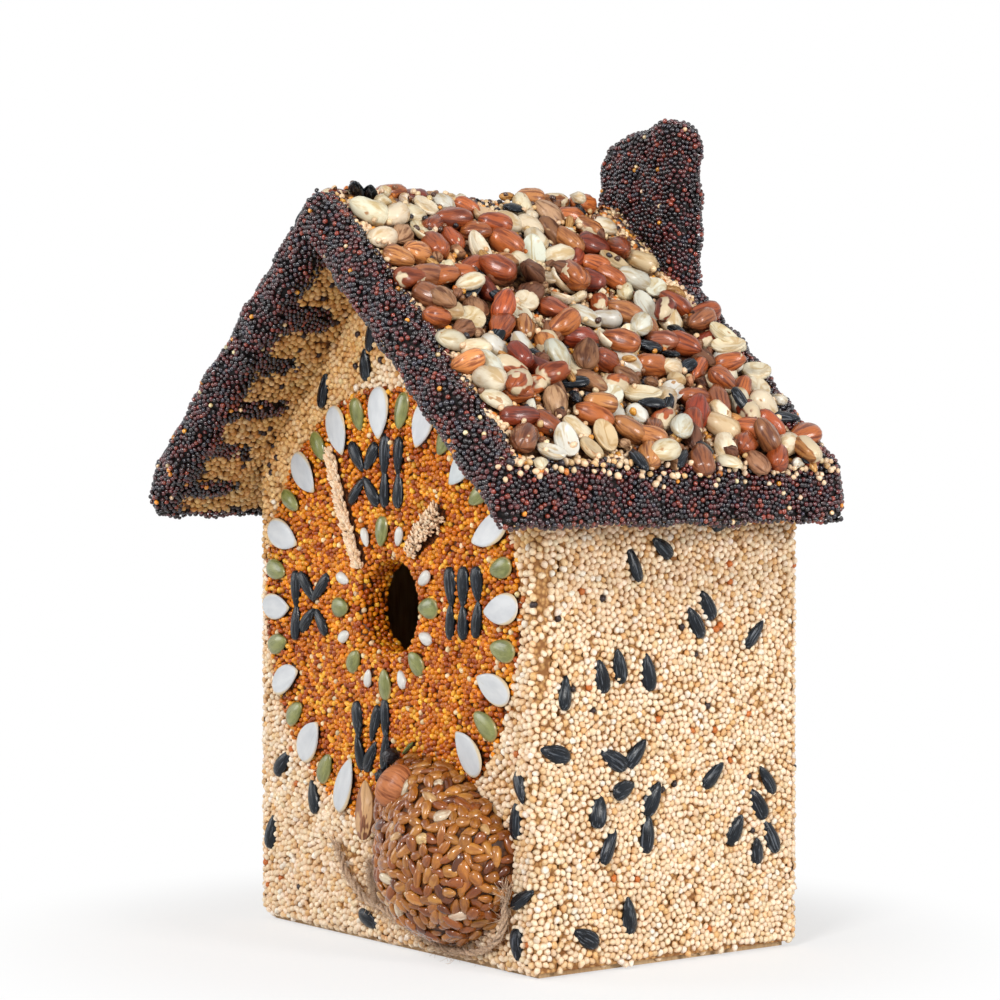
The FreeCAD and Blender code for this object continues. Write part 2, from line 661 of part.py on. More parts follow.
def left_wall_sunflower_seeds():
    """Sunflower seeds on the left wall, which the same hand would scatter as on the right."""
    seed = kernel(*SUNFLOWER_SEED)
    seeds = []
    for y, z, turn in scattered(14, 11, (CAVITY_FRONT + 8, BACK_WOOD - 8), (10, 138), 13.5):
        angle = math.radians(turn)
        seeds.append(placed(seed, (-HALF_WIDTH, y, z), (0, math.sin(angle), math.cos(angle)), (-1, 0, 0)))
    return seeds


def back_sunflower_seeds():
    """Sunflower seeds on the back."""
    seed = kernel(*SUNFLOWER_SEED)
    seeds = []
    for x, z, turn in scattered(14, 5, (-70, 70), (10, 150), 15.0):
        angle = math.radians(turn)
        seeds.append(placed(seed, (x, BACK_COAT_Y, z), (math.sin(angle), 0, math.cos(angle)), (0, 1, 0)))
    return seeds


def roof_nuts(side):
    """Whole and halved peanuts bedded on one slope in loose rows, no two touching."""
    draw = random.Random(21 if side > 0 else 34)
    lean = math.radians(ROOF_PITCH)
    normal = Vector(side * math.sin(lean), 0, math.cos(lean))
    down = Vector(side * math.cos(lean), 0, -math.sin(lean))
    run = (ROOF_HALF_SPAN - EAVE_WRAP_TOP) * ACROSS
    row_pitch = (run - 6) / NUT_ROWS
    place_pitch = (ROOF_LENGTH - 2 * RAKE_WRAP_TOP) / NUTS_IN_A_ROW
    chimney = Part.makeBox(60, 30, 60, Vector(-20, ROOF_BACK - 22, RIDGE_HEIGHT - 50))
    nuts = []
    for row in range(NUT_ROWS):
        for place in range(NUTS_IN_A_ROW):
            nut = kernel(draw.uniform(*NUT_LENGTH), draw.uniform(*NUT_WIDTH), draw.uniform(*NUT_STAND_OUT))
            s = 3 + row_pitch * (row + 0.5) + draw.uniform(-0.6, 0.6)
            y = ROOF_FRONT + RAKE_WRAP_TOP + place_pitch * (place + 0.5) + draw.uniform(-0.8, 0.8)
            spin = draw.uniform(-35, 35)
            along = Vector(0, 1, 0) * math.cos(math.radians(spin)) + down * math.sin(math.radians(spin))
            spot = Vector(0, y, RIDGE_HEIGHT) + down * s
            nut = placed(nut, (spot.x, spot.y, spot.z), along, normal)
            if nut.common(chimney).Volume < 1e-6:
                nuts.append(nut)
    return nuts


# Seed mouse


def mouse_rim(angle):
    """Radius of the mouse's outline in a direction, in degrees from the right, anticlockwise."""
    radius = MOUSE_RADIUS
    for middle, swell, spread in (MOUSE_SNOUT, MOUSE_RUMP, MOUSE_NAPE):
        away = (angle - middle + 180.0) % 360.0 - 180.0
        radius += swell * math.exp(-((away / spread) ** 2))
    return radius


def mouse_point(angle, share):
    """Point of the mouse's dome in a direction, at a share of the way out to its rim."""
    reach = share * mouse_rim(angle)
    turn = math.radians(angle)
    from_snout = (angle - MOUSE_SNOUT[0] + 180.0) % 360.0 - 180.0
    lowered = 1 - MOUSE_HEAD_DROP * share * math.exp(-((from_snout / 40.0) ** 2))
    stand_out = MOUSE_STAND_OUT * lowered * math.sqrt(max(0.0, 1 - share ** 2.4))
    across, up = reach * math.cos(turn), reach * math.sin(turn)
    return Vector(MOUSE_X + across, DIAL_FACE - 0.5 - stand_out, MOUSE_Z + up)


def mouse_body():
    """Domed body of glazed sunflower hearts in flat facets, drawn out to the snout at upper left."""
    spokes, shares = 20, (1.0, 0.93, 0.76, 0.5, 0.22)
    angles = [360.0 * i / spokes for i in range(spokes)]
    rings = [[mouse_point(angle, share) for angle in angles] for share in shares]
    wall = [Vector(p.x, FACE_Y, p.z) for p in rings[0]]
    rings.insert(0, wall)
    crown = mouse_point(0, 0)
    faces = [Part.Face(Part.makePolygon(wall + wall[:1]))]
    for low, high in zip(rings, rings[1:]):
        for i in range(spokes):
            j = (i + 1) % spokes
            faces.append(Part.Face(Part.makePolygon([low[i], low[j], high[j], low[i]])))
            faces.append(Part.Face(Part.makePolygon([low[i], high[j], high[i], low[i]])))
    last = rings[-1]
    for i in range(spokes):
        faces.append(Part.Face(Part.makePolygon([last[i], last[(i + 1) % spokes], crown, last[i]])))
    body = Part.makeSolid(Part.makeShell(faces))
    if body.Volume < 0:
        body.reverse()
    return body.cut(dial_disc(DIAL_FACE, FRONT_WOOD))


def mouse_near_ear():
    """Round kernel that stands on the mouse's head, its face turned to the front right."""
    ear = placed(kernel(*NEAR_EAR, whole=True), (22.3, -51.6, 57.4), (0.75, 0.45, -0.45), (0.5, -0.8, 0.3))
    return [ear.cut(mouse_body())]


def mouse_far_ear():
    """Half kernel that stands against the mouse's left cheek, seen on its edge from the right."""
    ear = placed(kernel(*FAR_EAR, whole=True), (4.6, -46.6, 46.5), (0.05, 0.0, 1.0), (-0.65, -0.76, 0.0))
    return [ear.cut([mouse_body(), dial_disc(DIAL_FACE, FRONT_WOOD), front_millet_coat()])]


def berry(x, y, z, radius):
    """Dried berry: a round bead cut in facets, flattened where it is glued down."""
    bead = kernel(2 * radius, 2 * radius, 1.8 * radius, 8, whole=True)
    return placed(bead, (x, y, z), (1, 0, 0), (0, -1, 0))


def mouse_berries():
    """The mouse's eye and nose, two dried berries, with the short green stalk beside the upper one."""
    stalk = box(9.6, 10.8, DIAL_FACE - 1.2, DIAL_FACE, 66.6, 72.5)
    stalk.rotate(Vector(10.2, 0, 67.0), Vector(0, 1, 0), 52)
    beads = [berry(4.6, DIAL_FACE, 65.4, 2.7), berry(-0.6, DIAL_FACE, 58.0, 2.5)]
    body = mouse_body()
    return [bead.cut(body) for bead in beads] + [stalk.cut([body] + beads)]


def cord_path(route, share=0.45):
    """Straight runs joined by tangent arcs through the points of a route on one plane."""
    edges = []
    start = route[0]
    for before, corner, after in zip(route, route[1:], route[2:]):
        back, ahead = before - corner, after - corner
        shorter = min(back.Length, ahead.Length)
        half_turn = (math.pi - back.getAngle(ahead)) / 2
        radius = share * shorter / math.tan(half_turn)
        inner = corner + back.normalize() * share * shorter
        outer = corner + ahead.normalize() * share * shorter
        middle = (back + ahead).normalize()
        crown = corner + middle * (radius / math.cos(half_turn) - radius)
        print(f"  cord arc radius {radius:.1f}")
        edges.append(Part.LineSegment(start, inner).toShape())
        edges.append(Part.Arc(inner, crown, outer).toShape())
        start = outer
    edges.append(Part.LineSegment(start, route[-1]).toShape())
    return Part.Wire(edges)


def faceted_cord(points, radius):
    """Six-sided cord that lies on the front along X-Z points, its flat side against the seed."""
    y = DIAL_FACE - radius * math.cos(math.radians(30))
    route = [Vector(x, y, z) for x, z in points]
    path = cord_path(route)
    along = (route[1] - route[0]).normalize()
    across = Vector(0, 1, 0).cross(along)
    corners = []
    for i in range(6):
        turn = math.radians(60 * i)
        reach = across * math.cos(turn) + Vector(0, 1, 0) * math.sin(turn)
        corners.append(route[0] + reach * radius)
    section = Part.makePolygon(corners + corners[:1])
    tube = Part.BRepOffsetAPI.MakePipeShell(path)
    tube.setBiNormalMode(Vector(0, 1, 0))
    tube.add(section)
    tube.build()
    tube.makeSolid()
    cord = tube.shape()
    share = cord.Volume / (1.5 * math.sqrt(3) * radius ** 2 * path.Length)
    print(f"  cord length {path.Length:.1f}, volume over section times length {share:.4f}")
    return cord


def mouse_tail():
    """Jute twine tail glued under the body and up to the left, and the strand that parts from it."""
    return [faceted_cord(TAIL_ROUTE, TWINE_RADIUS), faceted_cord(STRAND_ROUTE, STRAND_RADIUS)]


def rake_sunflower_seeds():
    """Sunflower seeds on the rapeseed trim: one low on the left rake, one at the apex."""
    seed = kernel(*SUNFLOWER_SEED)
    lean = math.radians(ROOF_PITCH)
    normal, up = (-math.sin(lean), 0, math.cos(lean)), (math.cos(lean), 0, math.sin(lean))
    spots = [(98.0, ROOF_FRONT + 4.0), (8.5, ROOF_FRONT + 4.5)]
    return [placed(seed, (-x, y, under_roof(RIDGE_HEIGHT, x)), up, normal) for x, y in spots]


def build_parts():
    """Every node of the house, by name."""
    brads = {"gable_brads": gable_brads(), "floor_brads": floor_brads(), "roof_brads": roof_brads()}
    pins = [pin for group in brads.values() for pin in group]
    parts = {
        "front_panel": front_panel().cut(pins),
        "back_panel": back_panel().cut(pins),
        "left_wall": side_wall(-1).cut(pins),
        "right_wall": side_wall(1).cut(pins),
        "floor_panel": floor_panel().cut(pins + [pivot_screw()]),
        "left_roof_board": roof_board(-1).cut(pins),
        "right_roof_board": roof_board(1).cut(pins),
        "chimney_board": chimney_board(),
        "cleanout_cover": cleanout_cover(),
        "cleanout_screw": pivot_screw(),
        "front_millet_coat": front_millet_coat(),
        "clock_dial_coat": clock_dial_coat(),
        "back_millet_coat": back_millet_coat(),
        "left_wall_coat": wall_coat(-1),
        "right_wall_coat": wall_coat(1),
        "left_nut_bed": roof_nut_bed(-1),
        "right_nut_bed": roof_nut_bed(1),
        "front_rake_trim": rake_trim(True),
        "back_rake_trim": rake_trim(False),
        "left_eave_trim": eave_trim(-1),
        "right_eave_trim": eave_trim(1),
        "left_soffit_coat": soffit_coat(-1),
        "right_soffit_coat": soffit_coat(1),
        "chimney_coat": chimney_coat(),
        "left_roof_nuts": roof_nuts(-1),
        "right_roof_nuts": roof_nuts(1),
        "numeral_12": numeral_12(),
        "numeral_3": numeral_3(),
        "numeral_6": numeral_6(),
        "numeral_9": numeral_9(),
        "pumpkin_seed_ring": pumpkin_seed_ring(),
        "outer_pepita_ring": outer_pepita_ring(),
        "inner_pepita_ring": inner_pepita_ring(),
        "safflower_ring": safflower_ring(),
        "minute_hand": minute_hand(),
        "hour_hand": hour_hand(),
        "front_sunflower_seeds": front_sunflower_seeds(),
        "right_wall_sunflower_seeds": right_wall_sunflower_seeds(),
        "left_wall_sunflower_seeds": left_wall_sunflower_seeds(),
        "back_sunflower_seeds": back_sunflower_seeds(),
        "rake_sunflower_seeds": rake_sunflower_seeds(),
        "mouse_body": mouse_body(),
        "mouse_near_ear": mouse_near_ear(),
        "mouse_far_ear": mouse_far_ear(),
        "mouse_berries": mouse_berries(),
        "mouse_tail": mouse_tail(),
    }
    parts.update(brads)
    return parts


def main():
    """Write one STEP file for each node."""
    os.makedirs("parts", exist_ok=True)
    for name, shape in build_parts().items():
        if isinstance(shape, list):
            shape = Part.makeCompound(shape)
        shape.exportStep(os.path.join("parts", name + ".step"))
        print(f"{name}: {len(shape.Solids)} solids, {shape.Volume / 1000:.2f} cm3, valid {shape.isValid()}")


main()
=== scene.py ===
"""Seed-covered birdhouse: every seed, nut, board and thread of it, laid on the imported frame.

The frame holds the boards, the crusts as plain solids and the larger seeds as cut facets. This script sows
each crust with its own seeds, lays the nuts, the clock face and the seed mouse, and dresses the rest.
Lengths are metres. The clock faces -Y, and +X is on the right of someone who faces the clock.
"""

from __future__ import annotations

import logging
import math
from dataclasses import dataclass, field
from enum import Enum
from typing import Callable

import bpy
import numpy as np
from mathutils import Matrix, Vector, noise
from mathutils.bvhtree import BVHTree
from mathutils.kdtree import KDTree


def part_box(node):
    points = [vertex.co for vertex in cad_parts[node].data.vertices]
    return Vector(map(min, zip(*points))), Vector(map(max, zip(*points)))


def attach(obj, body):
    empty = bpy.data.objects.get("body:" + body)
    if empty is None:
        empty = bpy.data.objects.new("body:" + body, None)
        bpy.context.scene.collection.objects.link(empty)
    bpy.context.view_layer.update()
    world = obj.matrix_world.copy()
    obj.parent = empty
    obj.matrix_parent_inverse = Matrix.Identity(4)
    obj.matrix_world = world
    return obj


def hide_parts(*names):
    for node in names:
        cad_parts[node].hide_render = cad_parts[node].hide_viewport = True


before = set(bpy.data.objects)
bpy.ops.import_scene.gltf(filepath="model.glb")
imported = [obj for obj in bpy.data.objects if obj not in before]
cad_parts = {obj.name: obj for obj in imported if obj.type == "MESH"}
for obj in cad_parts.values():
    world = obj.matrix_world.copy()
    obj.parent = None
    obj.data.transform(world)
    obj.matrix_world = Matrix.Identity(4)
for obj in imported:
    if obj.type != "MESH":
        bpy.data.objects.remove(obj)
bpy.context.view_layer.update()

log = logging.getLogger("birdhouse")

MM = 0.001
HOUSE = "house"
COVER = "cover"
PITCH = math.radians(42.0)
RIDGE = 254.0 * MM
DIAL_FACE = -40.0 * MM
Colour = tuple[float, float, float]


class Side(Enum):
    """One side of the house, as the sign of X."""

    LEFT = -1
    RIGHT = 1


# Modelling helpers


def only(obj: bpy.types.Object) -> bpy.types.Object:
    """Make obj the one selected and active object.

    Args:
        obj: The object to work on.

    Returns:
        The same object.
    """
    bpy.ops.object.select_all(action="DESELECT")
    obj.select_set(True)
    bpy.context.view_layer.objects.active = obj
    return obj


def settle(obj: bpy.types.Object) -> bpy.types.Object:
    """Move an object's place, turn and size into its mesh, and its modifiers too.

    Args:
        obj: A mesh object.

    Returns:
        The same object, at the origin.
    """
    only(obj)
    for modifier in list(obj.modifiers):
        bpy.ops.object.modifier_apply(modifier=modifier.name)
    bpy.ops.object.transform_apply(location=True, rotation=True, scale=True)
    return obj


def dress(obj: bpy.types.Object, material: bpy.types.Material) -> bpy.types.Object:
    """Put one material on a whole piece.

    Args:
        obj: The piece, or a CAD node.
        material: What it wears.

    Returns:
        The same object.
    """
    slots = obj.data.materials
    if len(slots):
        for i in range(len(slots)):
            slots[i] = material
    else:
        slots.append(material)
    return obj


def install(obj: bpy.types.Object, name: str, material: bpy.types.Material, node: str | None,
            body: str = HOUSE) -> bpy.types.Object:
    """Name a finished piece, dress it and fix it to its body.

    Args:
        obj: The piece.
        name: Its name.
        material: What it wears.
        node: The CAD node that it stands for, if any.
        body: The body that it rides on.

    Returns:
        The same object.
    """
    obj.name = name
    dress(obj, material)
    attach(obj, body)
    if node:
        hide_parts(node)
    obj.data.calc_loop_triangles()
    log.info("%s: %d triangles", name, len(obj.data.loop_triangles))
    return obj


def node_arrays(name: str) -> tuple[np.ndarray, np.ndarray]:
    """Read a CAD node's triangles.

    Args:
        name: The node.

    Returns:
        Its corners as (n, 3, 3), and its outward normals as (n, 3).
    """
    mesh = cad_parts[name].data
    mesh.calc_loop_triangles()
    places = np.empty(len(mesh.vertices) * 3)
    mesh.vertices.foreach_get("co", places)
    corners = np.empty(len(mesh.loop_triangles) * 3, np.int32)
    mesh.loop_triangles.foreach_get("vertices", corners)
    triangles = places.reshape(-1, 3)[corners.reshape(-1, 3)]
    normals = np.cross(triangles[:, 1] - triangles[:, 0], triangles[:, 2] - triangles[:, 0])
    lengths = np.linalg.norm(normals, axis=1)
    solid = lengths > 1e-14
    return triangles[solid], normals[solid] / lengths[solid, None]


def tree_of(triangles: np.ndarray) -> BVHTree:
    """Make a search tree of triangles.

    Args:
        triangles: Corners as (n, 3, 3).

    Returns:
        The tree.
    """
    flat = [Vector(p) for p in triangles.reshape(-1, 3)]
    faces = [(3 * i, 3 * i + 1, 3 * i + 2) for i in range(len(triangles))]
    return BVHTree.FromPolygons(flat, faces)


def tree_of_pieces(pieces: list[bpy.types.Object]) -> BVHTree:
    """Make a search tree of whole pieces.

    Args:
        pieces: Mesh objects at the origin.

    Returns:
        The tree.
    """
    corners: list[Vector] = []
    faces: list[list[int]] = []
    for piece in pieces:
        start = len(corners)
        corners.extend(v.co.copy() for v in piece.data.vertices)
        faces.extend([start + i for i in face.vertices] for face in piece.data.polygons)
    return BVHTree.FromPolygons(corners, faces)


@dataclass(frozen=True)
class Isle:
    """One loose solid of a CAD node: its middle, its axes (long, wide, out) and its half sizes."""

    centre: np.ndarray
    axes: np.ndarray
    half: np.ndarray

    @property
    def foot(self) -> np.ndarray:
        """Middle of the face that it is glued by."""
        return self.centre - self.axes[:, 2] * self.half[2]


def isles(name: str, out: Callable[[np.ndarray], np.ndarray]) -> list[Isle]:
    """Find the loose solids of a CAD node.

    Args:
        name: The node.
        out: Gives the way out of the crust at a place.

    Returns:
        The solids. Each one's long axis runs towards its pointed end.
    """
    triangles, _ = node_arrays(name)
    keys: dict[tuple[int, int, int], int] = {}
    owner: list[int] = []

    def root(i: int) -> int:
        while owner[i] != i:
            owner[i] = owner[owner[i]]
            i = owner[i]
        return i

    corner_ids = []
    for triangle in triangles:
        ids = []
        for p in triangle:
            key = tuple(int(round(c * 1e6)) for c in p)
            if key not in keys:
                keys[key] = len(owner)
                owner.append(len(owner))
            ids.append(keys[key])
        corner_ids.append(ids[0])
        for other in ids[1:]:
            owner[root(other)] = root(ids[0])
    groups: dict[int, list[int]] = {}
    for i, corner in enumerate(corner_ids):
        groups.setdefault(root(corner), []).append(i)
    found = []
    for members in groups.values():
        part = triangles[members]
        areas = np.linalg.norm(np.cross(part[:, 1] - part[:, 0], part[:, 2] - part[:, 0]), axis=1)
        samples = np.concatenate([part.mean(1), part[:, 0], part[:, 1], part[:, 2]])
        weights = np.concatenate([areas * 9, areas, areas, areas])
        middle = (samples * weights[:, None]).sum(0) / weights.sum()
        spread = samples - middle
        _, vectors = np.linalg.eigh((spread * weights[:, None]).T @ spread)
        long_axis, normal = vectors[:, 2], vectors[:, 0]
        normal = normal if normal @ out(middle) > 0 else -normal
        along = (part.reshape(-1, 3) - middle) @ long_axis
        long_axis = long_axis if along.max() > -along.min() else -long_axis
        wide = np.cross(normal, long_axis)
        axes = np.stack([long_axis, wide, normal], axis=1)
        local = part.reshape(-1, 3) @ axes
        low, high = local.min(0), local.max(0)
        found.append(Isle(axes @ ((low + high) / 2), axes, (high - low) / 2))
    return found


# Grains and how they are sown


@dataclass(frozen=True)
class Grain:
    """One modelled seed as plain arrays, so that it can be laid many times.

    Its middle lies at the origin, its long axis along X with the tip at +X, and +Z points out of the crust.
    """

    points: np.ndarray
    corners: np.ndarray
    counts: np.ndarray
    chart: np.ndarray

    @classmethod
    def taken_from(cls, obj: bpy.types.Object) -> Grain:
        """Read a modelled seed and remove its object.

        Args:
            obj: The seed, at the origin.

        Returns:
            The grain.
        """
        settle(obj)
        mesh = obj.data
        points = np.array([v.co for v in mesh.vertices])
        corners = np.array([i for face in mesh.polygons for i in face.vertices], np.int32)
        counts = np.array([len(face.vertices) for face in mesh.polygons], np.int32)
        unit = points[corners] / np.abs(points).max(0)
        unit /= np.maximum(np.linalg.norm(unit, axis=1, keepdims=True), 1e-6)
        across = np.linalg.norm(unit[:, :2], axis=1, keepdims=True)
        fall = np.arccos(unit[:, 2:].clip(-1, 1)) / math.pi
        chart = 0.5 + 0.48 * unit[:, :2] / np.maximum(across, 1e-6) * fall
        flat = np.repeat(counts > 6, counts)
        if points[:, 2].min() > -0.9 * np.abs(points[:, 2]).max():
            chart[flat] = 0.01 + 0.05 * chart[flat]
        bpy.data.objects.remove(obj)
        return cls(points, corners, counts, chart)


@dataclass
class Spots:
    """Places for grains: where, which way is out, and how each one lies."""

    at: np.ndarray
    axes: np.ndarray
    sizes: np.ndarray
    tints: np.ndarray

    @classmethod
    def strewn(cls, at: np.ndarray, normals: np.ndarray, spins: np.ndarray, tilts: np.ndarray,
               sizes: np.ndarray, tints: np.ndarray) -> Spots:
        """Describe grains by the way out, a spin about it, and a tilt of the tip up from the surface.

        Args:
            at: Places.
            normals: Ways out.
            spins: Turns about them.
            tilts: How far each tip rises.
            sizes: Half sizes, one row for each.
            tints: Colours with alpha.

        Returns:
            The spots.
        """
        upright = np.abs(normals[:, 2:]) > 0.9
        reference = np.where(upright, [[0.0, 1.0, 0.0]], [[0.0, 0.0, 1.0]])
        u = np.cross(reference, normals)
        u /= np.linalg.norm(u, axis=1, keepdims=True)
        v = np.cross(normals, u)
        x = u * np.cos(spins)[:, None] + v * np.sin(spins)[:, None]
        y = np.cross(normals, x)
        cos, sin = np.cos(tilts)[:, None], np.sin(tilts)[:, None]
        axes = np.stack([x * cos + normals * sin, y, normals * cos - x * sin], axis=2)
        return cls(at, axes, np.broadcast_to(sizes, (len(at), 3)), tints)

    def chosen(self, mask: np.ndarray) -> Spots:
        """Keep some of the spots.

        Args:
            mask: True for each spot that stays, or the numbers of the spots that stay.

        Returns:
            The spots that stay.
        """
        return Spots(self.at[mask], self.axes[mask], self.sizes[mask], self.tints[mask])


def sow(name: str, grain: Grain, spots: Spots, painted_foot_shade: float = 0.0) -> bpy.types.Object:
    """Lay one grain on every spot, all in one mesh.

    Args:
        name: The piece's name.
        grain: The grain to repeat.
        spots: Where and how it lies.
        painted_foot_shade: How much painted shade darkens and warms each grain's foot, where the crevices between
            grains lie in shade, from 0 to 1.

    Returns:
        The piece. The attribute "tint" holds each grain's colour, with painted shade at its foot, and its own random
        number as alpha.
        The attribute "seat" holds places on the grain, from -1 to 1.
    """
    count, per = len(spots.at), len(grain.points)
    turned = np.einsum("nij,npj->npi", spots.axes, grain.points[None] * spots.sizes[:, None])
    mesh = bpy.data.meshes.new(name)
    mesh.vertices.add(count * per)
    mesh.vertices.foreach_set("co", (spots.at[:, None] + turned).astype(np.float32).ravel())
    corners = (grain.corners[None] + per * np.arange(count)[:, None]).ravel()
    mesh.loops.add(len(corners))
    mesh.loops.foreach_set("vertex_index", corners.astype(np.int32))
    starts = np.concatenate([[0], np.cumsum(grain.counts)[:-1]])
    starts = (starts[None] + len(grain.corners) * np.arange(count)[:, None]).ravel()
    mesh.polygons.add(len(starts))
    mesh.polygons.foreach_set("loop_start", starts.astype(np.int32))
    mesh.polygons.foreach_set("use_smooth", np.ones(len(starts), bool))
    side = math.ceil(math.sqrt(count))
    cells = np.stack([np.arange(count) % side, np.arange(count) // side], axis=1)
    chart = (cells[:, None] + grain.chart[None]) / side
    mesh.uv_layers.new(name="OFBake").uv.foreach_set("vector", chart.astype(np.float32).ravel())
    tints = np.repeat(spots.tints[:, None], per, axis=1)
    # Painted shade: each grain's colour darkens and warms towards its foot, where the crevices between grains lie in
    # shade.
    height = (((grain.points[:, 2] + 0.32) / 1.1).clip(0, 1) ** 0.7)[None, :, None]
    stain = 1.0 - painted_foot_shade * (1.0 - height) * np.array([0.45, 0.72, 0.95])
    tints[:, :, :3] *= stain
    tint = mesh.color_attributes.new(name="tint", type="FLOAT_COLOR", domain="POINT")
    tint.data.foreach_set("color", tints.astype(np.float32).ravel())
    seat = mesh.attributes.new(name="seat", type="FLOAT_VECTOR", domain="POINT")
    unit = grain.points / np.abs(grain.points).max(0)
    seat.data.foreach_set("vector", np.tile(unit, (count, 1)).astype(np.float32).ravel())
    mesh.update(calc_edges=True)
    obj = bpy.data.objects.new(name, mesh)
    bpy.context.scene.collection.objects.link(obj)
    return obj


@dataclass(frozen=True)
class Palette:
    """Colours that a kind of seed comes in, with how common each one is."""

    colours: tuple[Colour, ...]
    shares: tuple[float, ...]
    spread: float = 0.08

    def draw(self, count: int, chance: np.random.Generator) -> np.ndarray:
        """Pick colours.

        Args:
            count: How many.
            chance: Where the luck comes from.

        Returns:
            Linear colours as (count, 4). The fourth number is a random one of each grain's own.
        """
        shares = np.array(self.shares) / sum(self.shares)
        picked = np.array(self.colours)[chance.choice(len(self.colours), count, p=shares)]
        shade = 1.0 + self.spread * chance.standard_normal((count, 1))
        hue = 1.0 + 0.25 * self.spread * chance.standard_normal((count, 3))
        linear = (picked * shade * hue).clip(0.003, 0.97)
        return np.concatenate([linear, chance.random((count, 1))], axis=1)


class Skin:
    """The open faces of some CAD nodes, which seeds can be sown on."""

    def __init__(self, names: tuple[str, ...], unseen: tuple[str, ...] = ()) -> None:
        """Read the nodes.

        Args:
            names: The nodes whose faces count.
            unseen: Nodes that don't stand in the way.
        """
        parts = [node_arrays(name) for name in names]
        self.triangles = np.concatenate([p[0] for p in parts])
        self.normals = np.concatenate([p[1] for p in parts])
        edges = self.triangles[:, 1:] - self.triangles[:, :1]
        self.areas = np.linalg.norm(np.cross(edges[:, 0], edges[:, 1]), axis=1) / 2
        self.tree = tree_of(self.triangles)
        rest = [node_arrays(name)[0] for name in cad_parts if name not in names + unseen]
        self.others = tree_of(np.concatenate(rest))

    def is_open(self, at: Vector, normal: Vector, room: float) -> bool:
        """Tell whether a seed has room at a place.

        Args:
            at: The place, on the skin.
            normal: The way out.
            room: How far out it must be free of other nodes.

        Returns:
            True if nothing else fills or covers the place.
        """
        hit, facing, _, away = self.others.ray_cast(at + normal * 0.25 * MM, normal, 60 * MM)
        return hit is None or (facing.dot(normal) < 0 and away > room)

    def way_out(self, at: Vector, room: float) -> Vector | None:
        """Find the way out at a place, halfway between the open faces that meet there.

        Args:
            at: The place, on the skin.
            room: How far out it must be free of other nodes.

        Returns:
            The unit way out, or None if the place is covered.
        """
        ways: list[Vector] = []
        for _, normal, _, _ in self.tree.find_nearest_range(at, 0.12 * MM):
            if all(normal.dot(way) < 0.999 for way in ways) and self.is_open(at, normal, room):
                ways.append(normal)
        return sum(ways, Vector()).normalized() if ways else None

    def thrown(self, count: int, chance: np.random.Generator) -> tuple[list[Vector], list[Vector]]:
        """Throw places evenly at the faces.

        Args:
            count: How many.
            chance: Where the luck comes from.

        Returns:
            The places and the normals there.
        """
        index = chance.choice(len(self.areas), count, p=self.areas / self.areas.sum())
        a, b = chance.random((2, count, 1))
        over = (a + b) > 1
        a, b = np.where(over, 1 - a, a), np.where(over, 1 - b, b)
        first, second, third = (self.triangles[index, k] for k in range(3))
        drawn = first + a * (second - first) + b * (third - first)
        return [Vector(p) for p in drawn], [Vector(n) for n in self.normals[index]]

    def scatter(self, spacing: float, chance: np.random.Generator, room: float = 1.6 * MM,
                rounds: int = 12) -> tuple[np.ndarray, np.ndarray, np.ndarray]:
        """Spread places over the open faces, pushed apart until they lie about evenly.

        Args:
            spacing: The distance that neighbours keep.
            chance: Where the luck comes from.
            room: How far out a place must be free.
            rounds: How often the places are pushed apart.

        Returns:
            The places, their outward normals, and whether each one only fills a gap.
        """
        points, normals = self.thrown(int(self.areas.sum() / spacing**2 * 1.28), chance)
        points = [p for p, n in zip(points, normals) if self.is_open(p, n, room)]
        for _ in range(rounds):
            points = self.pushed_apart(points, spacing)
        tree = planted(points)
        dropped: set[int] = set()
        result: list[tuple[Vector, Vector, bool]] = []
        for i, p in enumerate(points):
            if i in dropped:
                continue
            dropped.update(j for _, j, _ in tree.find_range(p, spacing * 0.74) if j > i)
            way = self.way_out(p, room)
            if way is not None:
                result.append((p, way, False))
        tree = planted([p for p, _, _ in result])
        fills: list[Vector] = []
        for p, normal in zip(*self.thrown(int(self.areas.sum() / spacing**2 * 4), chance)):
            if tree.find(p)[2] < spacing * 0.72 or not self.is_open(p, normal, room):
                continue
            if all((p - other).length > spacing * 0.8 for other in fills):
                fills.append(p)
                result.append((p, normal, True))
        return (np.array([p for p, _, _ in result]), np.array([n for _, n, _ in result]),
                np.array([f for _, _, f in result]))

    def pushed_apart(self, points: list[Vector], spacing: float) -> list[Vector]:
        """Push neighbours apart once, along the skin.

        Args:
            points: The places.
            spacing: The distance that they should keep.

        Returns:
            The new places.
        """
        tree = planted(points)
        moved = []
        for p in points:
            push = Vector()
            for near, _, away in tree.find_n(p, 7):
                if 1e-9 < away < spacing:
                    push += (p - near) * ((spacing - away) / away)
            moved.append(self.tree.find_nearest(p + push * 0.42)[0])
        return moved


def planted(points: list[Vector]) -> KDTree:
    """Make a search tree of places.

    Args:
        points: The places.

    Returns:
        The tree.
    """
    tree = KDTree(max(len(points), 1))
    for i, p in enumerate(points):
        tree.insert(p, i)
    tree.balance()
    return tree


# Materials


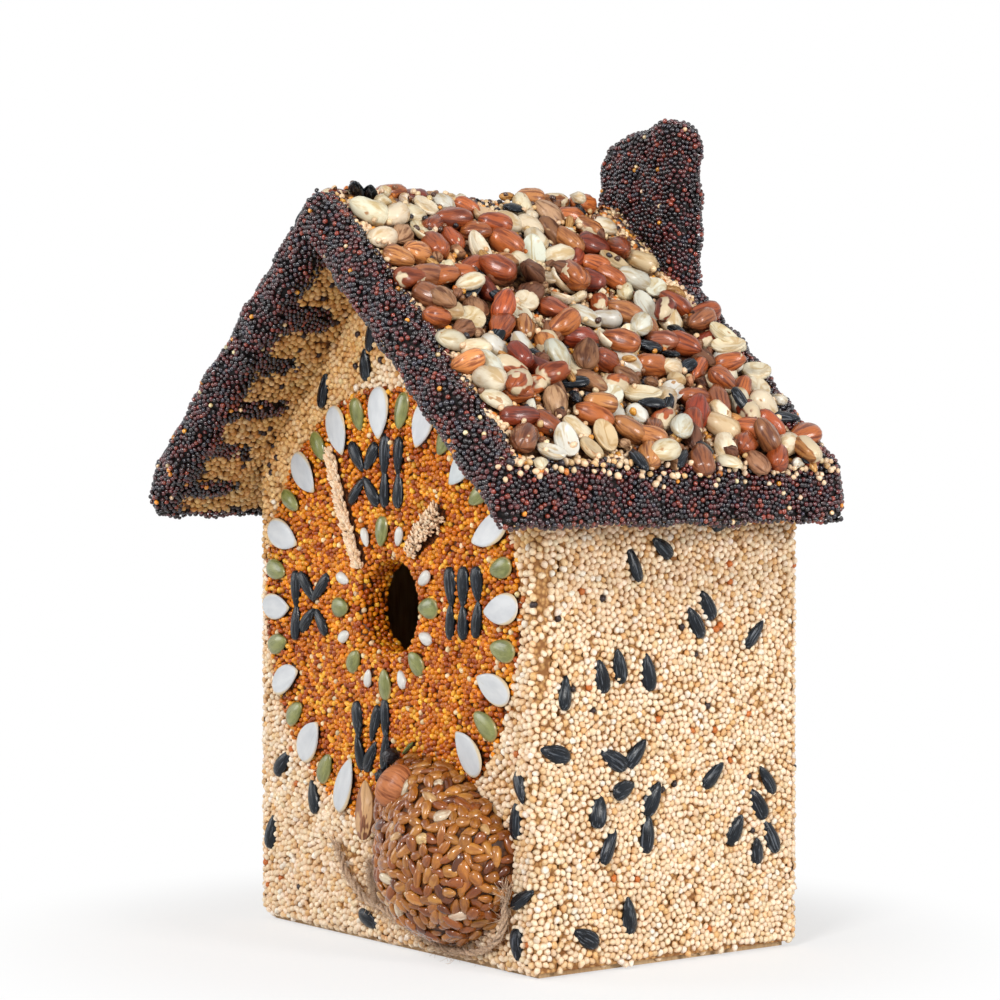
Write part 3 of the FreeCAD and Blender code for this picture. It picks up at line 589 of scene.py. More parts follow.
class Recipe:
    """A material in the making: its node tree, with short ways to add to it."""

    def __init__(self, name: str) -> None:
        """Start a material with one Principled shader.

        Args:
            name: The material's name.
        """
        self.material = bpy.data.materials.new(name)
        self.material.use_nodes = True
        self.tree = self.material.node_tree
        self.shader = self.tree.nodes["Principled BSDF"]

    def set(self, **values: float | Colour) -> Recipe:
        """Set the shader's own sockets.

        Args:
            values: Socket names with underscores for spaces, and their values.

        Returns:
            This recipe.
        """
        for name, value in values.items():
            whole = (*value, 1.0) if isinstance(value, tuple) else value
            self.shader.inputs[name.replace("_", " ")].default_value = whole
        return self

    def add(self, kind: str, **settings: object) -> bpy.types.Node:
        """Add a node.

        Args:
            kind: The node's type without its "ShaderNode".
            settings: Its own settings, or values of its inputs with underscores for spaces.

        Returns:
            The node.
        """
        node = self.tree.nodes.new("ShaderNode" + kind)
        for name, value in settings.items():
            socket = node.inputs.get(name.replace("_", " "))
            if socket is not None:
                socket.default_value = value
            else:
                setattr(node, name, value)
        return node

    def join(self, source: bpy.types.NodeSocket, target: bpy.types.NodeSocket) -> None:
        """Link two sockets."""
        self.tree.links.new(source, target)

    def where(self, stretch: Colour = (1.0, 1.0, 1.0)) -> bpy.types.NodeSocket:
        """Give the piece's own coordinates in metres.

        Args:
            stretch: How much each axis is squeezed, which draws a pattern out along the others.

        Returns:
            The vector socket.
        """
        mapping = self.add("Mapping", Scale=stretch)
        self.join(self.add("TexCoord").outputs["Object"], mapping.inputs["Vector"])
        return mapping.outputs["Vector"]

    def seat(self, stretch: Colour = (1.0, 1.0, 1.0)) -> bpy.types.NodeSocket:
        """Give the place on each seed, moved by the seed's own random number.

        Args:
            stretch: How much each axis is squeezed.

        Returns:
            The vector socket.
        """
        mapping = self.add("Mapping", Scale=stretch)
        self.join(self.add("Attribute", attribute_name="seat").outputs["Vector"], mapping.inputs["Vector"])
        far = self.add("Math", operation="MULTIPLY")
        far.inputs[1].default_value = 61.7
        self.join(self.tint().outputs["Alpha"], far.inputs[0])
        moved = self.add("VectorMath", operation="ADD")
        self.join(mapping.outputs["Vector"], moved.inputs[0])
        self.join(far.outputs[0], moved.inputs[1])
        return moved.outputs["Vector"]

    def meridians(self, count: float, drawn: float) -> bpy.types.NodeSocket:
        """Give coordinates in which noise makes lines from end to end of each seed.

        Args:
            count: About how many lines there are, divided by six.
            drawn: How quickly they change along the seed.

        Returns:
            The vector socket.
        """
        seat = self.add("Attribute", attribute_name="seat").outputs["Vector"]
        parts = []
        for mask, scale in (((0.0, 1.0, 1.0), count), ((1.0, 0.0, 0.0), drawn)):
            node = self.add("VectorMath", operation="MULTIPLY")
            self.join(seat, node.inputs[0])
            node.inputs[1].default_value = mask
            if mask[0] == 0.0:
                unit = self.add("VectorMath", operation="NORMALIZE")
                self.join(node.outputs[0], unit.inputs[0])
                node = unit
            size = self.add("VectorMath", operation="SCALE")
            self.join(node.outputs[0], size.inputs[0])
            size.inputs["Scale"].default_value = scale
            parts.append(size.outputs[0])
        far = self.sum(self.tint().outputs["Alpha"], 61.7, "MULTIPLY")
        for i in range(2):
            node = self.add("VectorMath", operation="ADD")
            self.join(parts[0], node.inputs[0])
            self.join((parts[1], far)[i], node.inputs[1])
            parts[0] = node.outputs[0]
        return parts[0]

    def tint(self) -> bpy.types.Node:
        """Give the node that reads each seed's colour and random number."""
        return self.add("Attribute", attribute_name="tint")

    def across(self, axis: str) -> bpy.types.NodeSocket:
        """Give one coordinate of the place on each seed, from -1 to 1.

        Args:
            axis: X, Y or Z.

        Returns:
            The value socket.
        """
        split = self.add("SeparateXYZ")
        self.join(self.add("Attribute", attribute_name="seat").outputs["Vector"], split.inputs[0])
        return split.outputs[axis]

    def noise(self, size: float, detail: float = 3.0, roughness: float = 0.55,
              where: bpy.types.NodeSocket | None = None) -> bpy.types.NodeSocket:
        """Add a noise pattern.

        Args:
            size: The size of its lumps, in metres or in the units of its coordinates.
            detail: How many finer octaves it has.
            roughness: How strong they are.
            where: The coordinates, or the piece's own.

        Returns:
            The noise, about 0.5.
        """
        node = self.add("TexNoise", Scale=1.0 / size, Detail=detail, Roughness=roughness)
        self.join(where or self.where(), node.inputs["Vector"])
        return node.outputs["Fac"]

    def ramp(self, factor: bpy.types.NodeSocket, *stops: tuple[float, Colour]) -> bpy.types.NodeSocket:
        """Map a factor to colours.

        Args:
            factor: The factor's socket.
            stops: Places from 0 to 1, with their linear colours.

        Returns:
            The colour socket.
        """
        node = self.add("ValToRGB")
        band = node.color_ramp
        while len(band.elements) < len(stops):
            band.elements.new(0.5)
        for element, (place, colour) in zip(band.elements, stops):
            element.position = place
            element.color = (*colour, 1.0)
        self.join(factor, node.inputs["Fac"])
        return node.outputs["Color"]

    def level(self, factor: bpy.types.NodeSocket, low: float, high: float,
              start: float = 0.0, end: float = 1.0) -> bpy.types.NodeSocket:
        """Map a factor to numbers.

        Args:
            factor: The factor's socket.
            low: The number where the factor is at start.
            high: The number where it is at end.
            start: The factor's own low end.
            end: The factor's own high end.

        Returns:
            The value socket.
        """
        node = self.add("MapRange")
        for name, value in (("From Min", start), ("From Max", end), ("To Min", low), ("To Max", high)):
            node.inputs[name].default_value = value
        self.join(factor, node.inputs["Value"])
        return node.outputs["Result"]

    def sum(self, a: bpy.types.NodeSocket, b: bpy.types.NodeSocket | float, how: str = "ADD") -> bpy.types.NodeSocket:
        """Combine two numbers.

        Args:
            a: The first.
            b: The second.
            how: Blender's name for the way of combining.

        Returns:
            The value socket.
        """
        node = self.add("Math", operation=how)
        self.join(a, node.inputs[0])
        if isinstance(b, bpy.types.NodeSocket):
            self.join(b, node.inputs[1])
        else:
            node.inputs[1].default_value = b
        return node.outputs[0]

    def mix(self, factor: bpy.types.NodeSocket | float, a: bpy.types.NodeSocket | Colour,
            b: bpy.types.NodeSocket | Colour, blend: str = "MIX") -> bpy.types.NodeSocket:
        """Mix two colours.

        Args:
            factor: How much of b.
            a: The first colour.
            b: The second colour.
            blend: Blender's name for the way of mixing.

        Returns:
            The colour socket.
        """
        node = self.add("Mix", data_type="RGBA", blend_type=blend)
        for value, socket in ((factor, node.inputs[0]), (a, node.inputs[6]), (b, node.inputs[7])):
            if isinstance(value, bpy.types.NodeSocket):
                self.join(value, socket)
            else:
                socket.default_value = (*value, 1.0) if isinstance(value, tuple) else value
        return node.outputs[2]

    def colour(self, source: bpy.types.NodeSocket) -> Recipe:
        """Let a socket colour the shader."""
        self.join(source, self.shader.inputs["Base Color"])
        return self

    def rough(self, source: bpy.types.NodeSocket) -> Recipe:
        """Let a socket set the shader's roughness."""
        self.join(source, self.shader.inputs["Roughness"])
        return self

    def bump(self, height: bpy.types.NodeSocket, depth: float, strength: float = 1.0) -> Recipe:
        """Raise the surface by a height pattern.

        Args:
            height: The pattern.
            depth: How deep it is in metres.
            strength: How much of it shows.

        Returns:
            This recipe.
        """
        node = self.add("Bump", Strength=strength, Distance=depth)
        self.join(height, node.inputs["Height"])
        self.join(node.outputs["Normal"], self.shader.inputs["Normal"])
        return self


@dataclass(frozen=True)
class SmallSeedFinish:
    """Millet or rapeseed under a thin glaze: each seed has its own tint, mottled a little."""

    name: str
    roughness: float
    mottle: float
    mottle_size: float
    glaze: float = 0.25
    relief: float = 0.05 * MM
    shine: float = 0.5

    def material(self) -> bpy.types.Material:
        """Make the material.

        Returns:
            The material, which reads the attribute "tint".
        """
        recipe = Recipe(self.name)
        recipe.set(Coat_Weight=self.glaze, Coat_Roughness=0.12, IOR=1.46, Specular_IOR_Level=self.shine)
        tint = recipe.tint().outputs["Color"]
        speckle = recipe.noise(self.mottle_size, detail=2.0)
        darker = recipe.mix(self.mottle, tint, (0.46, 0.29, 0.15), "MULTIPLY")
        patch = recipe.level(speckle, 0.0, 1.0, 0.48, 0.72)
        recipe.colour(recipe.mix(patch, tint, darker))
        recipe.rough(recipe.level(speckle, self.roughness - 0.08, self.roughness + 0.12, 0.3, 0.7))
        recipe.bump(recipe.noise(self.mottle_size * 0.6, detail=2.0), self.relief)
        return recipe.material


@dataclass(frozen=True)
class GlueFinish:
    """Hardened glaze between the seeds, with crumbs in it."""

    name: str
    dark: Colour
    light: Colour
    crumb_size: float

    def material(self) -> bpy.types.Material:
        """Make the material."""
        recipe = Recipe(self.name)
        recipe.set(Coat_Weight=0.08, Coat_Roughness=0.3, Specular_IOR_Level=0.2)
        crumbs = recipe.add("TexVoronoi", Scale=1.0 / self.crumb_size, feature="F1")
        recipe.join(recipe.where(), crumbs.inputs["Vector"])
        lumps = recipe.level(crumbs.outputs["Distance"], 1.0, 0.0, 0.1, 0.75)
        recipe.colour(recipe.ramp(lumps, (0.15, self.dark), (0.85, self.light)))
        recipe.rough(recipe.level(recipe.noise(4 * MM), 0.4, 0.7, 0.3, 0.7))
        recipe.bump(lumps, 0.35 * MM)
        return recipe.material


@dataclass(frozen=True)
class PlywoodFinish:
    """Bare plywood: pale faces with a faint grain along one axis."""

    name: str
    grain_stretch: Colour

    def material(self) -> bpy.types.Material:
        """Make the material."""
        recipe = Recipe(self.name)
        recipe.set(Specular_IOR_Level=0.35)
        grain = recipe.noise(1.6 * MM, detail=5.0, roughness=0.6, where=recipe.where(self.grain_stretch))
        board = recipe.ramp(grain, (0.3, (0.48, 0.31, 0.16)), (0.52, (0.62, 0.44, 0.25)), (0.75, (0.70, 0.53, 0.33)))
        stain = recipe.ramp(recipe.noise(22 * MM, detail=2.0), (0.35, (0.72, 0.62, 0.52)), (0.65, (1.0, 1.0, 1.0)))
        recipe.colour(recipe.mix(1.0, board, stain, "MULTIPLY"))
        recipe.rough(recipe.level(grain, 0.62, 0.8, 0.3, 0.7))
        recipe.bump(grain, 0.12 * MM)
        return recipe.material


@dataclass(frozen=True)
class StreakedHullFinish:
    """A seed's hull with streaks from end to end, such as a sunflower or pumpkin seed's."""

    name: str
    dark: Colour
    light: Colour
    fleck: Colour
    rim: Colour
    rim_start: float = 2.0
    fleck_start: float = 0.66
    roughness: float = 0.38
    glaze: float = 0.3
    ridges: float = 0.12 * MM
    stretch: Colour = (0.5, 5.0, 3.0)
    shine: float = 0.5

    def material(self) -> bpy.types.Material:
        """Make the material."""
        recipe = Recipe(self.name)
        recipe.set(Coat_Weight=self.glaze, Coat_Roughness=0.15, IOR=1.47, Specular_IOR_Level=self.shine)
        streaks = recipe.noise(1.0, detail=4.0, roughness=0.6, where=recipe.seat(self.stretch))
        cloud = recipe.noise(0.9, detail=3.0, where=recipe.seat((1.0, 1.2, 1.2)))
        base = recipe.mix(recipe.level(cloud, 0.0, 1.0, 0.35, 0.65), self.dark, self.light)
        flecks = recipe.level(streaks, 0.0, 1.0, self.fleck_start, self.fleck_start + 0.1)
        hull = recipe.mix(flecks, base, self.fleck)
        x, y = recipe.across("X"), recipe.across("Y")
        out = recipe.sum(recipe.sum(x, x, "MULTIPLY"), recipe.sum(y, y, "MULTIPLY"))
        edge = recipe.level(out, 0.0, 1.0, self.rim_start, self.rim_start + 0.22)
        hull = recipe.mix(edge, hull, self.rim)
        tinted = recipe.mix(1.0, hull, recipe.tint().outputs["Color"], "MULTIPLY")
        recipe.colour(tinted)
        recipe.rough(recipe.level(streaks, self.roughness - 0.1, self.roughness + 0.18, 0.3, 0.7))
        recipe.bump(streaks, self.ridges)
        return recipe.material


@dataclass(frozen=True)
class KernelFinish:
    """A nut's kernel: its tint, wrinkles along it, and patches where the skin is gone or has stained it."""

    name: str
    patch: Colour
    patch_start: float
    crease: Colour
    roughness: float = 0.42
    glaze: float = 0.15
    wrinkle_depth: float = 0.35 * MM
    lines: float = 2.4
    cloud_size: float = 0.9

    def material(self) -> bpy.types.Material:
        """Make the material."""
        recipe = Recipe(self.name)
        recipe.set(Coat_Weight=self.glaze, Coat_Roughness=0.2, IOR=1.46, Specular_IOR_Level=0.3)
        tint = recipe.tint().outputs["Color"]
        veins = recipe.noise(1.0, detail=3.0, roughness=0.6, where=recipe.meridians(self.lines, 0.8))
        dents = recipe.level(veins, 1.0, 0.0, 0.38, 0.54)
        veined = recipe.mix(dents, tint, recipe.mix(1.0, tint, self.crease, "MULTIPLY"))
        cloud = recipe.noise(self.cloud_size, detail=2.0, roughness=0.5, where=recipe.seat((1.0, 0.9, 0.9)))
        torn = recipe.level(cloud, 0.0, 1.0, self.patch_start, self.patch_start + 0.03)
        recipe.colour(recipe.mix(torn, veined, self.patch))
        recipe.rough(recipe.level(veins, self.roughness + 0.2, self.roughness - 0.08, 0.35, 0.65))
        recipe.bump(veins, self.wrinkle_depth)
        return recipe.material


@dataclass(frozen=True)
class GlazedHeartFinish:
    """Sunflower hearts boiled in glaze: amber, glossy, darker in the hollows."""

    name: str
    burnt: Colour = (0.36, 0.13, 0.035)

    def material(self) -> bpy.types.Material:
        """Make the material."""
        recipe = Recipe(self.name)
        recipe.set(Coat_Weight=0.55, Coat_Roughness=0.10, IOR=1.48, Specular_IOR_Level=0.3)
        tint = recipe.tint().outputs["Color"]
        fibres = recipe.noise(1.0, detail=2.0, roughness=0.5, where=recipe.seat((0.9, 1.5, 1.5)))
        pools = recipe.noise(6.0 * MM, detail=2.0)
        shaded = recipe.mix(recipe.level(fibres, 0.5, 0.0, 0.36, 0.58), tint,
                            recipe.mix(1.0, tint, self.burnt, "MULTIPLY"))
        recipe.colour(recipe.mix(recipe.level(pools, 0.0, 0.55, 0.52, 0.72), shaded,
                                 recipe.mix(1.0, tint, self.burnt, "MULTIPLY")))
        recipe.rough(recipe.level(fibres, 0.14, 0.32, 0.3, 0.7))
        recipe.bump(fibres, 0.18 * MM)
        return recipe.material


@dataclass(frozen=True)
class TwineFinish:
    """Jute fibres: grey-brown, matt, with pale and dark threads along the ply."""

    name: str

    def material(self) -> bpy.types.Material:
        """Make the material."""
        recipe = Recipe(self.name)
        recipe.set(Sheen_Weight=0.25, Sheen_Roughness=0.6, Specular_IOR_Level=0.2)
        threads = recipe.noise(0.5 * MM, detail=4.0, roughness=0.65)
        colour = recipe.ramp(threads, (0.3, (0.28, 0.17, 0.10)), (0.5, (0.52, 0.35, 0.225)), (0.72, (0.74, 0.57, 0.42)))
        recipe.colour(colour)
        recipe.rough(recipe.level(threads, 0.75, 0.95, 0.3, 0.7))
        recipe.bump(threads, 0.2 * MM)
        return recipe.material


@dataclass(frozen=True)
class SteelFinish:
    """Plated steel with fine scratches."""

    name: str
    colour: Colour = (0.55, 0.55, 0.56)

    def material(self) -> bpy.types.Material:
        """Make the material."""
        recipe = Recipe(self.name)
        recipe.set(Metallic=1.0)
        scratches = recipe.noise(0.5 * MM, detail=4.0, where=recipe.where((1.0, 6.0, 1.0)))
        stain = recipe.ramp(scratches, (0.35, (0.40, 0.39, 0.38)), (0.6, self.colour))
        recipe.colour(stain)
        recipe.rough(recipe.level(scratches, 0.28, 0.5, 0.3, 0.7))
        recipe.bump(scratches, 0.03 * MM)
        return recipe.material


# Seeds, each modelled once


def ball(segments: int, rings: int) -> bpy.types.Object:
    """Start a seed as a ball of radius 1 with its poles on the X axis.

    Args:
        segments: Faces round the X axis.
        rings: Rings from pole to pole.

    Returns:
        The ball.
    """
    bpy.ops.object.select_all(action="DESELECT")
    bpy.ops.mesh.primitive_uv_sphere_add(segments=segments, ring_count=rings, rotation=(0, math.pi / 2, 0))
    return settle(bpy.context.object)


def shaped(obj: bpy.types.Object, rule: Callable[[Vector], Vector]) -> bpy.types.Object:
    """Move every vertex by a rule.

    Args:
        obj: A mesh object.
        rule: Gives a vertex's new place.

    Returns:
        The same object.
    """
    for vertex in obj.data.vertices:
        vertex.co = rule(vertex.co.copy())
    return obj


def cut_below(obj: bpy.types.Object, place: Colour, way: Colour, outer: bool = False) -> bpy.types.Object:
    """Cut a piece by a plane and close the cut.

    Args:
        obj: A mesh object.
        place: A point of the plane.
        way: The plane's normal, which points to what stays.
        outer: True to keep the other side.

    Returns:
        The same object.
    """
    only(obj)
    bpy.ops.object.mode_set(mode="EDIT")
    bpy.ops.mesh.select_all(action="SELECT")
    bpy.ops.mesh.bisect(plane_co=place, plane_no=way, clear_inner=not outer, clear_outer=outer, use_fill=True)
    bpy.ops.object.mode_set(mode="OBJECT")
    return obj


def bead(sides: int) -> bpy.types.Object:
    """Start a small seed as a round cap that is open at its bedded foot.

    Args:
        sides: Faces round it.

    Returns:
        The cap, of radius 1.
    """
    bpy.ops.object.select_all(action="DESELECT")
    bpy.ops.mesh.primitive_uv_sphere_add(segments=sides, ring_count=5)
    obj = settle(bpy.context.object)
    bpy.ops.object.mode_set(mode="EDIT")
    bpy.ops.mesh.select_all(action="DESELECT")
    bpy.ops.object.mode_set(mode="OBJECT")
    for vertex in obj.data.vertices:
        vertex.select = vertex.co.z < -0.5
    bpy.ops.object.mode_set(mode="EDIT")
    bpy.ops.mesh.delete(type="VERT")
    bpy.ops.object.mode_set(mode="OBJECT")
    return obj


def millet_grain() -> Grain:
    """Model a grain of proso millet: a bead drawn out to a blunt point.

    Returns:
        The grain.
    """
    def drawn(p: Vector) -> Vector:
        tip = max(p.x, 0.0)
        return Vector((p.x * (1.04 + 0.30 * tip), p.y * (0.96 - 0.24 * tip), p.z * (1.0 - 0.12 * p.x)))
    return Grain.taken_from(shaped(bead(7), drawn))


def rapeseed_grain() -> Grain:
    """Model a rapeseed: a round bead, hardly uneven.

    Returns:
        The grain.
    """
    return Grain.taken_from(shaped(bead(7), lambda p: p * (1.0 + 0.05 * p.x)))


def sunflower_seed() -> Grain:
    """Model a sunflower seed: a flat drop with a keel along its face and a blunt foot.

    Returns:
        The grain.
    """
    def drop(p: Vector) -> Vector:
        round_about = math.hypot(p.y, p.z)
        width = p.y * (1.0 - 0.30 * p.x - 0.12 * p.x**3)
        keel = 1.0 + 0.22 * (1.0 - abs(p.y) / max(round_about, 0.01))
        return Vector((max(p.x, -0.95), width * 1.08, p.z * keel * (1.0 - 0.16 * p.x) / 1.2))
    return Grain.taken_from(shaped(ball(14, 10), drop))


def pumpkin_seed() -> Grain:
    """Model a pumpkin seed: a flat drop with a raised rim round a gently crowned face.

    Returns:
        The grain.
    """
    bpy.ops.object.select_all(action="DESELECT")
    bpy.ops.mesh.primitive_uv_sphere_add(segments=28, ring_count=18)
    seed = settle(bpy.context.object)

    def drop(p: Vector) -> Vector:
        out = math.hypot(p.x, p.y)
        tip = max(p.x, 0.0)
        rim = 0.16 * math.exp(-(((out - 0.90) / 0.07) ** 2))
        wall = max(0.0, 1.0 - out**6) ** 0.5
        height = 0.55 * wall + 0.14 * (1.0 - out * out) + rim if p.z > 0 else -0.4 * wall
        return Vector((p.x * (1.0 + 0.10 * tip**6), p.y * (1.0 - 0.24 * p.x - 0.22 * tip**4), height))
    return Grain.taken_from(shaped(seed, drop))


def hulled_pumpkin_seed() -> Grain:
    """Model a hulled pumpkin seed: a plump flat drop with a soft edge.

    Returns:
        The grain.
    """
    def drop(p: Vector) -> Vector:
        return Vector((p.x, p.y * (1.0 - 0.20 * p.x - 0.10 * p.x**3), p.z * (0.9 + 0.1 * math.cos(3 * p.y))))
    return Grain.taken_from(shaped(ball(14, 9), drop))


def safflower_seed() -> Grain:
    """Model a safflower seed: a white drop with four blunt ridges.

    Returns:
        The grain.
    """
    def ridged(p: Vector) -> Vector:
        turn = math.atan2(p.z, p.y)
        swell = (1.0 + 0.08 * math.cos(4 * turn)) * (1.0 + 0.20 * p.x)
        return Vector((-p.x, p.y * swell, p.z * swell))
    return Grain.taken_from(shaped(ball(12, 7), ridged))


def sunflower_heart() -> Grain:
    """Model a hulled sunflower seed: a slim plump drop with one fuller face.

    Returns:
        The grain.
    """
    def drop(p: Vector) -> Vector:
        width = p.y * (1.0 - 0.28 * p.x)
        return Vector((max(p.x, -0.93), width, p.z * (1.0 - 0.18 * p.x) * (1.0 if p.z > 0 else 0.8)))
    return Grain.taken_from(shaped(ball(10, 7), drop))


def whole_peanut(luck: int) -> Grain:
    """Model a peanut kernel with its nib at the tip.

    Args:
        luck: Which of the uneven shapes it has.

    Returns:
        The grain.
    """
    shift = Vector((luck * 7.3, luck * 3.1, 0.0))

    def plump(p: Vector) -> Vector:
        swell = 1.0 - 0.12 * p.x + 0.24 * noise.noise(p * 1.2 + shift) + 0.07 * noise.noise(p * 3.5 - shift)
        swell *= (1.0 + 0.55 * p.x * p.x) ** 0.5
        nib = 0.07 * max(0.0, p.x - 0.9) * 10
        sag = 0.10 * noise.noise(Vector((p.x * 0.9, luck * 5.1, 0.0)))
        return Vector((p.x + nib, p.y * swell + sag, p.z * swell))
    return Grain.taken_from(shaped(ball(14, 10), plump))


class HalfLie(Enum):
    """Which face of a split kernel is up."""

    ROUND_UP = 0
    FLAT_UP = 1


def split_peanut(lie: HalfLie) -> Grain:
    """Model half a peanut kernel: one face round, the other flat with a hollow down its middle.

    Args:
        lie: Which face is up.

    Returns:
        The grain.
    """
    seed = cut_below(ball(14, 9), (0, 0, 0), (0, 0, 1), outer=lie is HalfLie.FLAT_UP)
    bpy.ops.object.mode_set(mode="EDIT")
    bpy.ops.mesh.select_all(action="DESELECT")
    bpy.ops.object.mode_set(mode="OBJECT")
    flat = max(seed.data.polygons, key=lambda face: len(face.vertices))
    flat.select = True
    bpy.ops.object.mode_set(mode="EDIT")
    bpy.ops.mesh.select_mode(type="FACE")
    down = -1.0 if lie is HalfLie.FLAT_UP else 1.0
    for inset, fall in ((0.07, -0.02), (0.14, 0.10), (0.22, 0.16)):
        bpy.ops.mesh.inset(thickness=inset)
        bpy.ops.transform.translate(value=(0, 0, fall * down))
    bpy.ops.object.mode_set(mode="OBJECT")
    rise = 0.35 if lie is HalfLie.FLAT_UP else -0.35
    return Grain.taken_from(shaped(seed, lambda p: Vector((p.x, p.y * (1.0 - 0.12 * p.x), p.z + rise))))


def kernel_disc() -> Grain:
    """Model a round flat slice of kernel with a soft edge and a hollow.

    Returns:
        The grain.
    """
    bpy.ops.object.select_all(action="DESELECT")
    bpy.ops.mesh.primitive_circle_add(vertices=16, fill_type="NGON")
    seed = settle(bpy.context.object)
    only(seed)
    bpy.ops.object.mode_set(mode="EDIT")
    bpy.ops.mesh.select_all(action="SELECT")
    bpy.ops.mesh.extrude_region_move(TRANSFORM_OT_translate={"value": (0, 0, 0.8)})
    for inset, rise in ((0.08, 0.2), (0.15, 0.05), (0.25, -0.28), (0.2, -0.05)):
        bpy.ops.mesh.inset(thickness=inset)
        bpy.ops.transform.translate(value=(0, 0, rise))
    bpy.ops.object.mode_set(mode="OBJECT")
    return Grain.taken_from(shaped(seed, lambda p: Vector((p.x, p.y, p.z - 0.5 + 0.12 * p.x * p.x))))


def wrinkled_kernel() -> Grain:
    """Model a shrunken brown kernel with hollows along it.

    Returns:
        The grain.
    """
    def shrunk(p: Vector) -> Vector:
        turn = math.atan2(p.z, p.y)
        swell = 1.0 - 0.22 * p.x + 0.09 * math.cos(5 * turn + 2 * p.x)
        return Vector((p.x, p.y * swell, p.z * swell))
    return Grain.taken_from(shaped(ball(16, 8), shrunk))


def nut_chip(luck: int) -> Grain:
    """Model a broken bit of kernel.

    Args:
        luck: Which of the broken shapes it has.

    Returns:
        The grain.
    """
    chance = np.random.default_rng(luck)
    bpy.ops.object.select_all(action="DESELECT")
    bpy.ops.mesh.primitive_ico_sphere_add(subdivisions=2)
    chip = bpy.context.object
    for _ in range(3):
        way = chance.standard_normal(3)
        way /= np.linalg.norm(way)
        cut_below(chip, tuple(-way * chance.uniform(0.35, 0.6)), tuple(way))
    return Grain.taken_from(chip)


def wheat_grain() -> Grain:
    """Model a grain of wheat with the crease down its face.

    Returns:
        The grain.
    """
    def creased(p: Vector) -> Vector:
        crease = 0.35 * math.exp(-((p.y / 0.22) ** 2)) if p.z > 0 else 0.0
        return Vector((p.x, p.y * (1.0 - 0.12 * p.x), p.z - crease * (1 - p.x * p.x)))
    return Grain.taken_from(shaped(ball(16, 7), creased))


# Crusts of small seeds


MOST_SEEDS = 5600  # in one piece, which keeps it below 200,000 triangles


@dataclass(frozen=True)
class Crust:
    """A layer of one small seed over some CAD nodes."""

    nodes: tuple[str, ...]
    radius: float
    spacing: float
    grain: Grain
    palette: Palette
    finish: SmallSeedFinish
    glue: GlueFinish
    rise: float = 0.25
    lumps: float = 0.0
    # Painted shade at each grain's foot, where the crevices between grains lie in shade.
    painted_foot_shade: float = 0.8
    bare: tuple[tuple[Colour, Colour], ...] = ()
    # Colours for the seeds near the roof on the front and back, darkened there as painted shade under the eaves.
    upper: Palette | None = None
    upper_from: float = 0.205
    luck: int = 1

    def build(self) -> None:
        """Sow the seeds and dress the nodes below them in glue."""
        chance = np.random.default_rng(self.luck)
        glue = self.glue.material()
        shell = self.finish.material()
        for node in self.nodes:
            dress(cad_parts[node], glue)
            at, normals, fills = Skin((node,)).scatter(self.spacing, chance)
            lump = np.array([max(0.0, 0.3 + noise.noise(Vector(p) / (10 * MM))) for p in at])
            if self.lumps > 0.0:
                normals = self.rounded(at, normals)
            height = self.radius * (self.rise + 0.13 * chance.standard_normal(len(at))).clip(-0.2, 0.6)
            height = height + self.lumps * lump - 0.3 * self.radius * fills
            stays = np.ones(len(at), bool)
            for low, high in self.bare:
                inside = ((at > np.array(low) * MM) & (at < np.array(high) * MM)).all(1)
                stays &= ~inside | (chance.random(len(at)) < 0.16)
            at, normals, height = at[stays], normals[stays], height[stays]
            spots = self.laid(at + normals * height[:, None], normals, chance)
            heaps = np.array_split(np.argsort(at[:, 0]), 1 + len(at) // MOST_SEEDS)
            for heap, end in zip(heaps, ("", "_more")):
                piece = sow(node + "_seeds" + end, self.grain, spots.chosen(heap), self.painted_foot_shade)
                install(piece, piece.name, shell, None)

    @staticmethod
    def rounded(at: np.ndarray, normals: np.ndarray) -> np.ndarray:
        """Turn the ways out gradually where faces meet, so that no gap opens at their edge.

        Args:
            at: The places.
            normals: The ways out.

        Returns:
            The ways out, each averaged over its neighbours.
        """
        tree = planted([Vector(p) for p in at])
        result = []
        for p in at:
            near = [i for _, i, _ in tree.find_range(Vector(p), 3.6 * MM)]
            way = normals[near].sum(0)
            result.append(way / max(float(np.linalg.norm(way)), 1e-6))
        return np.array(result)

    def laid(self, at: np.ndarray, normals: np.ndarray, chance: np.random.Generator) -> Spots:
        """Give each place a seed's turn, size and colour.

        Args:
            at: The places.
            normals: The ways out.
            chance: Where the luck comes from.

        Returns:
            The spots.
        """
        count = len(at)
        sizes = self.radius * (1.0 + 0.07 * chance.standard_normal((count, 1))).clip(0.8, 1.2)
        sizes = sizes * (1.0 + 0.05 * chance.standard_normal((count, 3)))
        tints = self.palette.draw(count, chance)
        # Seeds near the roof on the front and back take the upper palette: painted shade under the eaves, with the
        # glaze's yellower tone there.
        if self.upper is not None:
            below_roof = at[:, 2] + 0.9 * np.abs(at[:, 0]) + chance.normal(0, 5 * MM, count)
            up = (np.abs(normals[:, 1]) > 0.5) & (below_roof > self.upper_from)
            tints[up] = self.upper.draw(count, chance)[up]
        return Spots.strewn(at, normals, chance.uniform(0, 2 * math.pi, count),
                            chance.normal(0, 0.35, count).clip(-0.8, 0.8), sizes, tints)


# Larger seeds that lie where the frame has them


